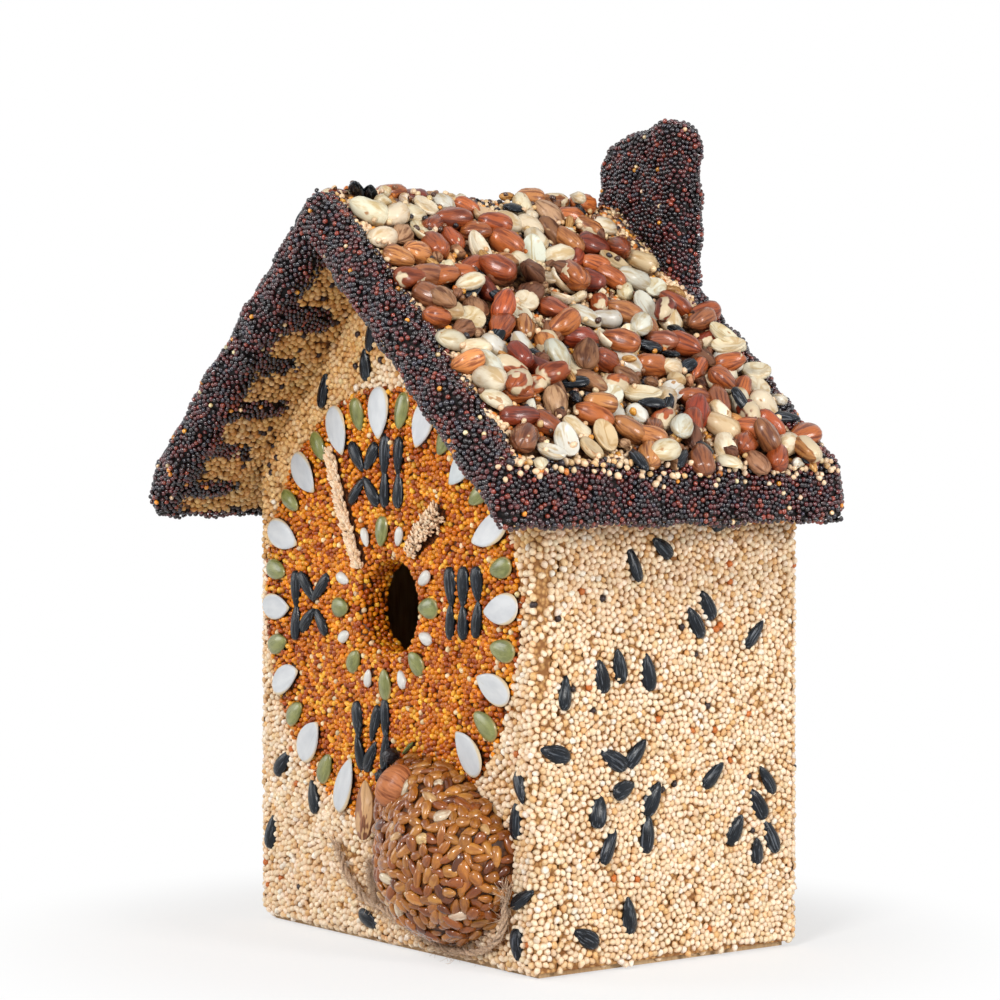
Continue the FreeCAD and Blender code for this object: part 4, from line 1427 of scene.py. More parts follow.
@dataclass(frozen=True)
class LaidSeeds:
    """Seeds of one kind that stand for the loose solids of a CAD node, one for one."""

    node: str
    grain: Grain
    material: bpy.types.Material
    out: Callable[[np.ndarray], np.ndarray]
    palette: Palette
    width: float = 1.0
    length: float = 1.0
    thickness: float = 1.0
    rise: float = 0.1
    sway: float = 0.05
    lean: float = 1.0
    luck: int = 1

    def build(self) -> bpy.types.Object:
        """Lay the seeds.

        Returns:
            The piece.
        """
        chance = np.random.default_rng(self.luck)
        found = isles(self.node, self.out)
        half = np.array([isle.half for isle in found])
        count = len(found)
        axes = []
        for isle in found:
            roll, pitch, spin = chance.normal(0, self.sway, 3)
            turn = Matrix.Rotation(spin, 3, "Z") @ Matrix.Rotation(pitch, 3, "Y") @ Matrix.Rotation(1.6 * roll, 3, "X")
            upright = isle.axes[:, 0] * math.copysign(1.0, isle.axes[2, 0])
            more = (self.lean - 1.0) * math.atan2(upright[0], upright[2])
            axes.append(np.array(Matrix.Rotation(more, 3, "Y")) @ isle.axes @ np.array(turn))
        sizes = half * np.array([self.length, self.width, 1.0])
        sizes = sizes * (1.0 + 0.06 * chance.standard_normal((count, 3)))
        sizes[:, 2] = half[:, 2] * self.thickness
        foot = np.array([isle.foot for isle in found])
        ways = np.array([isle.axes[:, 2] for isle in found])
        at = foot + ways * (2.0 * half[:, 2:] - sizes[:, 2:] * (1.0 - self.rise))
        spots = Spots(at, np.array(axes), sizes, self.palette.draw(count, chance))
        piece = sow(self.node + "_seeds", self.grain, spots)
        return install(piece, piece.name, self.material, self.node)


def towards(way: Colour) -> Callable[[np.ndarray], np.ndarray]:
    """Give the same way out everywhere.

    Args:
        way: The way out.

    Returns:
        The rule that isles() takes.
    """
    return lambda at: np.array(way)


@dataclass(frozen=True)
class MilletSpray:
    """A clock hand: millet husks all round its line, thinner towards its tip."""

    node: str
    foot: tuple[float, float]
    tip: tuple[float, float]
    half_width: float
    husks: int
    flare: float
    palette: Palette
    luck: int

    def build(self, grain: Grain, material: bpy.types.Material) -> None:
        """Lay the husks.

        Args:
            grain: One husk.
            material: The husks' finish.
        """
        chance = np.random.default_rng(self.luck)
        start = np.array([self.foot[0], 0.0, self.foot[1]]) * MM
        end = np.array([self.tip[0], 0.0, self.tip[1]]) * MM
        along = (end - start) / np.linalg.norm(end - start)
        side = np.cross([0.0, -1.0, 0.0], along)
        share = (np.arange(self.husks) + chance.uniform(0, 1, self.husks)) / self.husks
        turn = chance.uniform(-1.35, 1.35, self.husks)
        bend = 0.8 * MM * np.sin(share * math.pi * 1.3)
        reach = self.half_width * (0.62 + self.flare * share) * chance.uniform(0.45, 1.0, self.husks)
        out = np.cos(turn)[:, None] * np.array([0.0, -1.0, 0.0]) + np.sin(turn)[:, None] * side
        at = start + (end - start) * share[:, None] + out * reach[:, None] + side * bend[:, None]
        at[:, 1] += DIAL_FACE - 0.9 * MM
        lean = chance.uniform(0.45, 1.25, self.husks)[:, None]
        long_axis = along * np.cos(lean) + out * np.sin(lean)
        wide = np.cross(out, long_axis)
        wide /= np.linalg.norm(wide, axis=1, keepdims=True)
        axes = np.stack([long_axis, wide, np.cross(long_axis, wide)], axis=2)
        sizes = np.array([[1.15, 0.68, 0.62]]) * MM * chance.uniform(0.75, 1.2, (self.husks, 1))
        piece = sow(self.node + "_husks", grain, Spots(at, axes, sizes, self.palette.draw(self.husks, chance)))
        install(piece, piece.name, material, self.node)


# The roof's nuts


@dataclass(frozen=True)
class NutKind:
    """One kind of nut or seed on the roof."""

    name: str
    grains: tuple[Grain, ...]
    half: Colour
    share: float
    palette: Palette
    material: bpy.types.Material
    slot: str
    tilt: float = 0.22
    rise: float = 0.55


@dataclass
class Roof:
    """Nuts packed over both slopes."""

    kinds: list[NutKind]
    slope_reach: float = 140.0
    depth_reach: float = 61.0
    back_reach: float = 5.0
    base_count: int = 230
    upper_count: int = 34
    chimney_gap: float = 4.5
    luck: int = 21

    def normal_at(self, u: np.ndarray) -> np.ndarray:
        """Give the way out of the roof, which turns over smoothly at the ridge.

        Args:
            u: Distances down the slope from the ridge, negative on the left.

        Returns:
            Unit normals.
        """
        lean = PITCH * np.tanh(u / 5.0)
        return np.stack([np.sin(lean), np.zeros_like(u), np.cos(lean)], axis=1)

    def place_at(self, u: np.ndarray, y: np.ndarray) -> np.ndarray:
        """Give places on the roof's surface.

        Args:
            u: Distances down the slope from the ridge, negative on the left.
            y: Distances along the ridge.

        Returns:
            Places in metres.
        """
        drop = np.sqrt(u * u + 4.0) - 2.0
        x = np.sign(u) * (np.abs(u) - 0.0) * math.cos(PITCH)
        return np.stack([x, y, RIDGE / MM - drop * math.sin(PITCH)], axis=1) * MM

    def pack(self, chance: np.random.Generator) -> tuple[np.ndarray, np.ndarray, np.ndarray, np.ndarray]:
        """Push nuts apart on the unfolded roof until they lie close together.

        Args:
            chance: Where the luck comes from.

        Returns:
            Each nut's kind, its place (u, y), its turn and its half sizes, in millimetres.
        """
        known = []
        for side in Side:
            lean = side.value * math.sin(PITCH)
            for isle in isles(side.name.lower() + "_roof_nuts", lambda at, lean=lean: np.array([lean, 0, 0.74])):
                centre = isle.centre / MM
                known.append((side.value * abs(centre[0]) / math.cos(PITCH), centre[1]))
        count = 2 * self.base_count
        shares = np.array([kind.share for kind in self.kinds])
        picked = chance.choice(len(self.kinds), count, p=shares / shares.sum())
        half = np.array([self.kinds[k].half for k in picked])
        half = half * (1.0 + 0.09 * chance.standard_normal((count, 1)).clip(-2, 2))
        half = half * (1.0 + 0.06 * chance.standard_normal((count, 3)).clip(-2, 2))
        order = np.argsort(-half[:, 0] * half[:, 1])
        picked, half = picked[order], half[order]
        at = np.stack([chance.uniform(-self.slope_reach, self.slope_reach, count),
                       chance.uniform(-self.depth_reach, self.depth_reach, count)], axis=1)
        at[:len(known)] = np.array(known)[:count] + chance.normal(0, 2.0, (len(known), 2))
        turn = chance.uniform(0, 2 * math.pi, count)
        owner = np.repeat(np.arange(count), 3)
        step = np.tile([-1.0, 0.0, 1.0], count)
        arm = np.repeat(np.maximum(half[:, 0] - half[:, 1], 0.0), 3) * step
        radius = np.repeat(half[:, 1], 3)
        limit = np.array([self.slope_reach, self.depth_reach])
        behind = np.array([0.0, self.back_reach])
        for _ in range(160):
            way = np.stack([np.cos(turn), np.sin(turn)], axis=1)[owner]
            circles = at[owner] + way * arm[:, None]
            gap = circles[:, None] - circles[None]
            away = np.sqrt((gap**2).sum(2)) + 1e-6
            deep = (0.93 * (radius[:, None] + radius[None]) - away).clip(0, None)
            deep[owner[:, None] == owner[None]] = 0.0
            push = (gap * (deep / away)[:, :, None]).sum(1)
            wide = limit + behind * (circles > 0)
            over = np.maximum(np.abs(circles) + radius[:, None] * 0.75 - wide, 0.0)
            push -= np.sign(circles) * over * 2.0
            twist = (way[:, 0] * push[:, 1] - way[:, 1] * push[:, 0]) * arm
            np.add.at(at, owner, push * 0.13)
            np.add.at(turn, owner, 0.35 * twist / (half[owner, 0] ** 2 + 1.0))
            at = np.clip(at, -limit, limit + behind)
        return picked, at, turn, half

    def build(self) -> list[bpy.types.Object]:
        """Pack and lay the nuts.

        Returns:
            The pieces.
        """
        chance = np.random.default_rng(self.luck)
        picked, at, turn, half = self.pack(chance)
        count = len(picked)
        low, high = (np.array(corner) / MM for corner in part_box("chimney_coat"))
        place = self.place_at(at[:, 0], at[:, 1])
        normal = self.normal_at(at[:, 0])
        rises = np.array([self.kinds[k].rise for k in picked])
        tilts = chance.normal(0, 1, count) * np.array([self.kinds[k].tilt for k in picked])
        lift = half[:, 2] * rises + chance.normal(0, 0.35, count)
        upper = chance.choice(count, 2 * self.upper_count, replace=False)
        top_at = at[upper] + chance.normal(0, 5.0, (len(upper), 2))
        top_at = np.clip(top_at, [-self.slope_reach + 5, -self.depth_reach + 5],
                         [self.slope_reach - 5, self.depth_reach - 5])
        picked = np.concatenate([picked, chance.permutation(picked)[:len(upper)]])
        top_half = np.array([self.kinds[k].half for k in picked[count:]])
        top_half = top_half * (1.0 + 0.08 * chance.standard_normal((len(upper), 1)))
        place = np.concatenate([place, self.place_at(top_at[:, 0], top_at[:, 1])])
        normal = np.concatenate([normal, self.normal_at(top_at[:, 0])])
        lift = np.concatenate([lift, top_half[:, 2] * 0.5 + 3.4])
        tilts = np.concatenate([tilts, chance.normal(0, 0.35, len(upper))])
        turn = np.concatenate([turn, chance.uniform(0, 2 * math.pi, len(upper))])
        half = np.concatenate([half, top_half])
        place = place + normal * lift[:, None] * MM
        spots = Spots.strewn(place, normal, turn, tilts, half * MM, np.ones((len(place), 4)))
        mm = place / MM
        reach = half[:, 1] + self.chimney_gap
        inside = ((mm[:, 0] > low[0] - reach) & (mm[:, 0] < high[0] + reach)
                  & (mm[:, 1] > low[1] - reach) & (mm[:, 1] < high[1] + reach))
        pieces = []
        for side in Side:
            for k, kind in enumerate(self.kinds):
                mine = (picked == k) & ~inside & ((place[:, 0] >= 0) == (side is Side.RIGHT))
                members = np.flatnonzero(mine)
                for variant, grain in enumerate(kind.grains):
                    chosen = members[variant::len(kind.grains)]
                    if not len(chosen):
                        continue
                    laid = spots.chosen(chosen)
                    laid.tints = kind.palette.draw(len(chosen), chance)
                    letter = "abcdef"[variant] if len(kind.grains) > 1 else ""
                    name = f"{side.name.lower()}_roof_{kind.name}" + ("_" + letter if letter else "")
                    piece = sow(name, grain, laid)
                    install(piece, name, kind.material, side.name.lower() + "_roof_nuts")
                    pieces.append(piece)
        return pieces


@dataclass(frozen=True)
class GapFill:
    """Small seeds that lie between the nuts, on the bed and against the nuts' sides."""

    palette: Palette
    border: Palette
    finish: SmallSeedFinish
    glue: GlueFinish
    spacing: float = 1.9
    radius: float = 1.05
    highest: float = 3.6
    luck: int = 31

    def build(self, grain: Grain, nuts: list[bpy.types.Object]) -> None:
        """Sow the seeds.

        Args:
            grain: The seed.
            nuts: The nuts, already laid.
        """
        chance = np.random.default_rng(self.luck)
        cover = tree_of_pieces(nuts)
        shell = self.finish.material()
        glue = self.glue.material()
        for side in Side:
            node = side.name.lower() + "_nut_bed"
            dress(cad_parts[node], glue)
            skin = Skin((node,), ("left_roof_nuts", "right_roof_nuts"))
            points, normals, _ = skin.scatter(self.spacing * MM, chance, room=0.05 * MM, rounds=6)
            at, ways = [], []
            for p, n in zip(points, normals):
                out = Vector(n)
                if out.z < 0.5:
                    continue
                start = Vector(p) + out * 20 * MM
                hit, facing, _, away = cover.ray_cast(start, -out, 20 * MM)
                if hit is None:
                    at.append(p + n * 0.2 * MM)
                    ways.append(n)
                    continue
                height = 20 * MM - away
                if height < self.highest * MM and facing.dot(out) < 0.86 and chance.random() < 0.62:
                    at.append(np.array(hit) + np.array(facing) * 0.25 * MM)
                    ways.append(np.array((facing + out).normalized()))
            strays, stray_ways, _ = Skin((side.name.lower() + "_eave_trim",)).scatter(2.3 * MM, chance, rounds=2)
            top = strays[:, 2].max()
            drop = (top - strays[:, 2]) / (7.5 * MM)
            kept = (chance.random(len(strays)) > drop * 1.1) & (stray_ways[:, 2] > -0.2)
            at.extend(strays[kept] + stray_ways[kept] * 1.9 * MM)
            ways.extend(stray_ways[kept])
            count = len(at)
            sizes = self.radius * MM * (1.0 + 0.12 * chance.standard_normal((count, 1))).clip(0.75, 1.3)
            tints = self.palette.draw(count, chance)
            places = np.abs(np.array(at)) / MM
            outer = ((places[:, 0] > 96.5) | (places[:, 1] > 58.5)) & (chance.random(count) < 0.7)
            tints[outer] = self.border.draw(count, chance)[outer]
            spots = Spots.strewn(np.array(at), np.array(ways), chance.uniform(0, 2 * math.pi, count),
                                 chance.normal(0, 0.4, count), sizes, tints)
            name = side.name.lower() + "_roof_gap_seeds"
            # The gap seeds' feet get painted shade, at half strength.
            install(sow(name, grain, spots, 0.5), name, shell, None)


# The seed mouse


@dataclass(frozen=True)
class Mouse:
    """Dome of glazed sunflower hearts, its ears, its berries and its bit of stalk."""

    heart_spacing: float = 4.15
    heart_half: Colour = (3.7, 1.85, 1.35)
    luck: int = 41

    def body(self, grain: Grain, material: bpy.types.Material, glue: bpy.types.Material, palette: Palette) -> None:
        """Cover the dome in hearts.

        Args:
            grain: One heart.
            material: The hearts' finish.
            glue: The burnt glaze below them.
            palette: The hearts' colours.
        """
        chance = np.random.default_rng(self.luck)
        dress(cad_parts["mouse_body"], glue)
        at, normals, fills = Skin(("mouse_body",)).scatter(self.heart_spacing * MM, chance, room=0.3 * MM)
        count = len(at)
        sizes = np.array([self.heart_half]) * MM * chance.uniform(0.8, 1.15, (count, 1))
        sizes = sizes * chance.uniform((0.7, 0.85, 0.85), (1.1, 1.15, 1.15), (count, 3))
        height = chance.uniform(-0.3, 0.9, (count, 1)) * MM - 0.7 * MM * fills[:, None]
        spots = Spots.strewn(at + normals * height, normals, chance.uniform(0, 2 * math.pi, count),
                             chance.normal(0.04, 0.16, count), sizes, palette.draw(count, chance))
        piece = sow("mouse_body_hearts", grain, spots)
        install(piece, piece.name, material, None)

    def ear(self, node: str, half: bool, material: bpy.types.Material, tint: Colour, shift: Colour,
            growth: Colour) -> None:
        """Model an ear from a round kernel or half of one.

        Args:
            node: The CAD node that it stands for.
            half: True for a kernel that is cut in half.
            material: Its finish.
            tint: Its colour.
            shift: How far it lies from the middle of the node's facets, in millimetres.
            growth: Its size against theirs, along, across and out.
        """
        kernel = ball(28, 18)
        if half:
            cut_below(kernel, (0, 0.12, 0.1), (0.1, -0.72, 0.66), outer=True)

        def uneven(p: Vector) -> Vector:
            swell = 1.0 + 0.05 * noise.noise(p * 1.4) - (0.10 if not half else 0.04) * p.x
            tip = 0.10 * max(0.0, p.x - 0.88) * 8
            return Vector((p.x + tip, p.y * swell, p.z * swell))
        grain = Grain.taken_from(shaped(kernel, uneven))
        triangles, _ = node_arrays(node)
        corners = triangles.reshape(-1, 3)
        if node == "mouse_near_ear":
            long_axis, out = np.array([0.75, 0.45, -0.45]), np.array([0.5, -0.8, 0.3])
        else:
            long_axis, out = np.array([0.05, 0.0, 1.0]), np.array([-0.65, -0.76, 0.0])
        long_axis = long_axis / np.linalg.norm(long_axis)
        out = out - long_axis * (out @ long_axis)
        out /= np.linalg.norm(out)
        axes = np.stack([long_axis, np.cross(out, long_axis), out], axis=1)
        local = corners @ axes
        low, high = local.min(0), local.max(0)
        middle = axes @ ((low + high) / 2) + np.array(shift) * MM
        spots = Spots(middle[None], axes[None], ((high - low) / 2 * np.array(growth))[None],
                      np.array([[*tint, 0.37]]))
        piece = sow(node + "_kernel", grain, spots)
        install(piece, piece.name, material, node)

    def berries(self, material: bpy.types.Material) -> None:
        """Model the two dried berries and the green stalk.

        Args:
            material: Their finish.
        """
        def bumpy(p: Vector) -> Vector:
            return p * (1.12 - 0.45 * min(noise.voronoi(p * 2.6)[0][0], 0.5))
        shrivelled = shaped(ball(32, 22), bumpy)
        grain = Grain.taken_from(shrivelled)
        at, axes, sizes, tints = [], [], [], []
        for isle in isles("mouse_berries", towards((0, -1, 0))):
            round_one = isle.half[0] < 1.6 * isle.half[1]
            at.append(isle.centre + np.array([0, -0.9, 0]) * MM)
            axes.append(isle.axes)
            sizes.append(isle.half * (1.1 if round_one else 1.3))
            tints.append([0.014, 0.010, 0.014, 0.2] if round_one else [0.22, 0.27, 0.06, 0.6])
        spots = Spots(np.array(at), np.array(axes), np.array(sizes), np.array(tints))
        piece = sow("mouse_dried_berries", grain, spots)
        install(piece, piece.name, material, "mouse_berries")


TAIL_ROUTE = ((67.8, 24.5), (66.8, 15.5), (61.5, 8.8), (52.5, 5.8), (42.0, 4.4), (31.5, 4.9), (21.0, 7.4),
              (11.0, 10.2), (1.5, 12.8), (-7.5, 14.4), (-15.5, 16.9), (-21.3, 21.6), (-25.9, 27.6), (-30.0, 33.4))
STRAND_ROUTE = ((-3.6, 16.4), (-5.6, 20.0), (-6.6, 24.2), (-7.2, 28.4))


@dataclass(frozen=True)
class Twine:
    """Jute twine glued round the mouse: plies twisted together, with loose fibres and a cut tuft."""

    plies: int = 3
    ply_radius: float = 0.52
    lay_radius: float = 0.66
    lay_length: float = 10.5
    stand_out: float = 1.1
    hairs: int = 1300
    luck: int = 51

    def path(self, route: tuple[tuple[float, float], ...]) -> np.ndarray:
        """Follow a smooth line through a route on the front.

        Args:
            route: X and Z in millimetres.

        Returns:
            Places in metres, evenly close.
        """
        curve = bpy.data.curves.new("route", "CURVE")
        curve.dimensions = "3D"
        curve.resolution_u = 12
        spline = curve.splines.new("NURBS")
        spline.points.add(len(route) - 1)
        y = DIAL_FACE / MM - 1.5 - self.stand_out
        for point, (x, z) in zip(spline.points, route):
            point.co = (x * MM, y * MM, z * MM, 1.0)
        spline.order_u = 3
        spline.use_endpoint_u = True
        obj = bpy.data.objects.new("route", curve)
        bpy.context.scene.collection.objects.link(obj)
        bpy.context.view_layer.update()
        mesh = bpy.data.meshes.new_from_object(obj)
        places = np.array([v.co for v in mesh.vertices])
        bpy.data.objects.remove(obj)
        bpy.data.curves.remove(curve)
        return places

    def tube(self, places: np.ndarray, radii: np.ndarray, sides: int) -> tuple[list[Vector], list[tuple[int, ...]]]:
        """Make a closed tube along places.

        Args:
            places: The middle line.
            radii: The radius at each place.
            sides: Faces round it.

        Returns:
            Vertices and faces.
        """
        ahead = np.gradient(places, axis=0)
        ahead /= np.linalg.norm(ahead, axis=1, keepdims=True)
        up = np.cross(ahead, [0.0, 1.0, 0.0])
        up /= np.maximum(np.linalg.norm(up, axis=1, keepdims=True), 1e-9)
        side = np.cross(ahead, up)
        vertices: list[Vector] = []
        faces: list[tuple[int, ...]] = []
        for i, place in enumerate(places):
            for j in range(sides):
                turn = 2 * math.pi * j / sides
                vertices.append(Vector(place + radii[i] * (math.cos(turn) * up[i] + math.sin(turn) * side[i])))
                if i:
                    a, b = (i - 1) * sides + j, (i - 1) * sides + (j + 1) % sides
                    faces.append((a, b, b + sides, a + sides))
        faces.append(tuple(range(sides - 1, -1, -1)))
        last = (len(places) - 1) * sides
        faces.append(tuple(range(last, last + sides)))
        return vertices, faces

    def strands(self, places: np.ndarray, plies: int, scale: float) -> list[np.ndarray]:
        """Wind plies round a line.

        Args:
            places: The middle line.
            plies: How many.
            scale: Their size, against the whole twine's.

        Returns:
            The middle line of each ply.
        """
        steps = np.linalg.norm(np.diff(places, axis=0), axis=1)
        run = np.concatenate([[0.0], np.cumsum(steps)])
        even = np.linspace(0, run[-1], int(run[-1] / (0.7 * MM)) + 2)
        line = np.stack([np.interp(even, run, places[:, k]) for k in range(3)], axis=1)
        ahead = np.gradient(line, axis=0)
        ahead /= np.linalg.norm(ahead, axis=1, keepdims=True)
        up = np.cross(ahead, [0.0, 1.0, 0.0])
        side = np.cross(ahead, up)
        lines = []
        for ply in range(plies):
            turn = 2 * math.pi * (even / (self.lay_length * MM) + ply / plies)
            loose = 1.0 + 0.55 * np.sin(even / (5.3 * MM) + ply * 2.1)
            offset = up * np.cos(turn)[:, None] + side * np.sin(turn)[:, None]
            lines.append(line + offset * (self.lay_radius * scale * MM * loose)[:, None])
        return lines

    def build(self, material: bpy.types.Material) -> None:
        """Twist the twine, its parted strand, its fibres and its tuft.

        Args:
            material: The jute.
        """
        chance = np.random.default_rng(self.luck)
        vertices: list[Vector] = []
        faces: list[tuple[int, ...]] = []

        def add(made: tuple[list[Vector], list[tuple[int, ...]]]) -> None:
            start = len(vertices)
            vertices.extend(made[0])
            faces.extend(tuple(start + i for i in face) for face in made[1])

        tail = self.path(TAIL_ROUTE)
        lines = [(line, self.ply_radius) for line in self.strands(tail, self.plies, 1.0)]
        lines += [(line, 0.55) for line in self.strands(self.path(STRAND_ROUTE), 2, 0.55)]
        for line, radius in lines:
            share = np.linspace(0, 1, len(line))
            slim = np.minimum(1.0, 0.35 + 7.0 * (1.0 - share)) * np.minimum(1.0, 0.6 + 8.0 * share)
            swell = 1.0 + 0.16 * np.array([noise.noise(Vector(p) / (2.2 * MM)) for p in line])
            add(self.tube(line, radius * MM * slim * swell, 8))
        for _ in range(self.hairs):
            line, radius = lines[chance.integers(len(lines))]
            i = int(chance.integers(1, len(line) - 1))
            ahead = line[i] - line[i - 1]
            ahead /= np.linalg.norm(ahead)
            way = chance.standard_normal(3)
            way[1] = -abs(way[1]) * 0.8
            way = way / np.linalg.norm(way) + ahead * chance.choice([-1.0, 1.0]) * 1.3
            way /= np.linalg.norm(way)
            curl = chance.standard_normal(3) * 0.5
            length = chance.uniform(1.4, 5.4) * MM
            share = np.linspace(0, 1, 5)[:, None]
            hair = line[i] + way * share * length + curl * share**2 * length * 0.5
            hair[:, 1] = np.minimum(hair[:, 1], DIAL_FACE - 0.9 * MM)
            hair[:, 2] = np.maximum(hair[:, 2], 0.4 * MM)
            add(self.tube(hair, np.linspace(0.11, 0.04, 5) * MM, 3))
        tuft = tail[0]
        for _ in range(70):
            way = np.array([chance.normal(0.15, 0.5), chance.normal(-0.35, 0.3), 1.0])
            way /= np.linalg.norm(way)
            length = chance.uniform(3.0, 7.5) * MM
            share = np.linspace(0, 1, 5)[:, None]
            start = tuft + chance.normal(0, 0.6, 3) * MM
            hair = start + way * share * length + chance.standard_normal(3) * share**2 * 1.6 * MM
            add(self.tube(hair, np.linspace(0.16, 0.05, 5) * MM, 4))
        mesh = bpy.data.meshes.new("mouse_tail_twine")
        mesh.from_pydata(vertices, [], faces)
        mesh.update()
        for face in mesh.polygons:
            face.use_smooth = True
        obj = bpy.data.objects.new("mouse_tail_twine", mesh)
        bpy.context.scene.collection.objects.link(obj)
        only(obj)
        bpy.ops.object.mode_set(mode="EDIT")
        bpy.ops.mesh.select_all(action="SELECT")
        bpy.ops.mesh.normals_make_consistent(inside=False)
        bpy.ops.object.mode_set(mode="OBJECT")
        install(obj, "mouse_tail_twine", material, "mouse_tail")


# Boards and hardware


@dataclass(frozen=True)
class Case:
    """Plywood boards, the clean-out cover and the steel that holds them."""

    grain_runs: tuple[tuple[str, Colour], ...] = (
        ("front_panel", (1.0, 1.0, 0.12)), ("back_panel", (1.0, 1.0, 0.12)), ("left_wall", (1.0, 1.0, 0.12)),
        ("right_wall", (1.0, 1.0, 0.12)), ("floor_panel", (0.12, 1.0, 1.0)), ("left_roof_board", (1.0, 0.12, 1.0)),
        ("right_roof_board", (1.0, 0.12, 1.0)), ("chimney_board", (1.0, 1.0, 0.12)),
        ("cleanout_cover", (0.12, 1.0, 1.0)))
    steel: tuple[str, ...] = ("gable_brads", "floor_brads", "roof_brads", "cleanout_screw")

    def dress(self) -> None:
        """Give each board its grain and the hardware its steel."""
        for node, stretch in self.grain_runs:
            dress(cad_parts[node], PlywoodFinish("plywood " + node.replace("_", " "), stretch).material())
        steel = SteelFinish("plated steel").material()
        for node in self.steel:
            dress(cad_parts[node], steel)


# Studio


@dataclass(frozen=True)
class Studio:
    """Floor, soft lamps, white ground and the camera of the photograph."""

    camera_place: Vector = field(default_factory=lambda: Vector((0.8093, -0.60865, 0.16735)))
    camera_turn: float = 52.757
    camera_dip: float = 0.915
    lens: float = 105.27

    def camera(self) -> None:
        """Set up the camera at the photograph's viewing angle."""
        data = bpy.data.cameras.new("photograph")
        data.sensor_width = 36.0
        data.lens = self.lens
        data.clip_start = 0.05
        turn, dip = math.radians(self.camera_turn), math.radians(self.camera_dip)
        ahead = Vector((-math.sin(turn) * math.cos(dip), math.cos(turn) * math.cos(dip), -math.sin(dip)))
        obj = bpy.data.objects.new("photograph", data)
        obj.rotation_euler = ahead.to_track_quat("-Z", "Y").to_euler()
        obj.location = self.camera_place
        bpy.context.scene.collection.objects.link(obj)
        bpy.context.scene.camera = obj

    def lamp(self, name: str, place: Colour, size: float, power: float, warmth: Colour) -> None:
        """Add a soft lamp that looks at the middle of the house.

        Args:
            name: Its name.
            place: Where it stands.
            size: The side of its square.
            power: Its power in watts.
            warmth: Its colour.
        """
        data = bpy.data.lights.new(name, "AREA")
        data.size = size
        data.energy = power
        data.color = warmth
        obj = bpy.data.objects.new(name, data)
        obj.location = place
        look = Vector((0.0, 0.0, 0.13)) - Vector(place)
        obj.rotation_euler = look.to_track_quat("-Z", "Y").to_euler()
        bpy.context.scene.collection.objects.link(obj)

    def floor(self) -> None:
        """Lay a wide pale floor that keeps the house's shadow and fades to plain white away from it."""
        bpy.ops.object.select_all(action="DESELECT")
        bpy.ops.mesh.primitive_grid_add(x_subdivisions=8, y_subdivisions=8, size=6.0, location=(0, 0, -0.0002))
        floor = settle(bpy.context.object)
        floor.name = "floor"
        recipe = Recipe("white floor")
        recipe.set(Base_Color=(0.95, 0.95, 0.95), Roughness=0.9, Specular_IOR_Level=0.1)
        away = recipe.add("VectorMath", operation="LENGTH")
        recipe.join(recipe.where(), away.inputs[0])
        fade = recipe.add("MapRange", interpolation_type="SMOOTHSTEP")
        for name, value in (("From Min", 0.10), ("From Max", 0.20), ("To Min", 0.60), ("To Max", 1.0)):
            fade.inputs[name].default_value = value
        recipe.join(away.outputs["Value"], fade.inputs["Value"])
        path = recipe.add("LightPath")
        seen = recipe.sum(path.outputs["Is Camera Ray"], path.outputs["Is Glossy Ray"], "MAXIMUM")
        factor = recipe.sum(fade.outputs["Result"], seen, "MULTIPLY")
        white = recipe.add("Emission", Color=(1.0, 1.0, 1.0, 1.0), Strength=1.0)
        blend = recipe.add("MixShader")
        recipe.join(factor, blend.inputs["Fac"])
        recipe.join(recipe.shader.outputs[0], blend.inputs[1])
        recipe.join(white.outputs[0], blend.inputs[2])
        clear = recipe.add("MixShader")
        recipe.join(recipe.add("NewGeometry").outputs["Backfacing"], clear.inputs["Fac"])
        recipe.join(blend.outputs[0], clear.inputs[1])
        recipe.join(recipe.add("BsdfTransparent").outputs[0], clear.inputs[2])
        recipe.join(clear.outputs[0], recipe.tree.nodes["Material Output"].inputs["Surface"])
        dress(floor, recipe.material)

    def world(self) -> None:
        """Light everything softly from a white world, which the camera sees as plain white."""
        world = bpy.data.worlds.new("white ground")
        world.use_nodes = True
        tree = world.node_tree
        ground = tree.nodes["Background"]
        ground.inputs["Color"].default_value = (0.98, 0.985, 1.0, 1.0)
        ground.inputs["Strength"].default_value = 0.30
        seen = tree.nodes.new("ShaderNodeBackground")
        seen.inputs["Color"].default_value = (1.0, 1.0, 1.0, 1.0)
        seen.inputs["Strength"].default_value = 1.0
        path = tree.nodes.new("ShaderNodeLightPath")
        mix = tree.nodes.new("ShaderNodeMixShader")
        white_for = path.outputs["Is Camera Ray"]
        for kind in ("Is Transmission Ray", "Is Glossy Ray"):
            either = tree.nodes.new("ShaderNodeMath")
            either.operation = "MAXIMUM"
            tree.links.new(white_for, either.inputs[0])
            tree.links.new(path.outputs[kind], either.inputs[1])
            white_for = either.outputs[0]
        tree.links.new(white_for, mix.inputs["Fac"])
        tree.links.new(ground.outputs[0], mix.inputs[1])
        tree.links.new(seen.outputs[0], mix.inputs[2])
        tree.links.new(mix.outputs[0], tree.nodes["World Output"].inputs["Surface"])
        bpy.context.scene.world = world

    def build(self) -> None:
        """Put the whole studio up."""
        bpy.context.scene.view_settings.view_transform = "Standard"
        self.camera()
        self.floor()
        self.world()
        self.lamp("key", (0.75, -1.35, 0.95), 0.42, 19.0, (1.0, 0.985, 0.96))
        self.lamp("fill", (-1.1, -1.1, 0.6), 0.7, 7.5, (0.97, 0.985, 1.0))
        self.lamp("side", (1.55, 0.2, 0.5), 0.42, 14.5, (1.0, 0.99, 0.97))


# The whole house


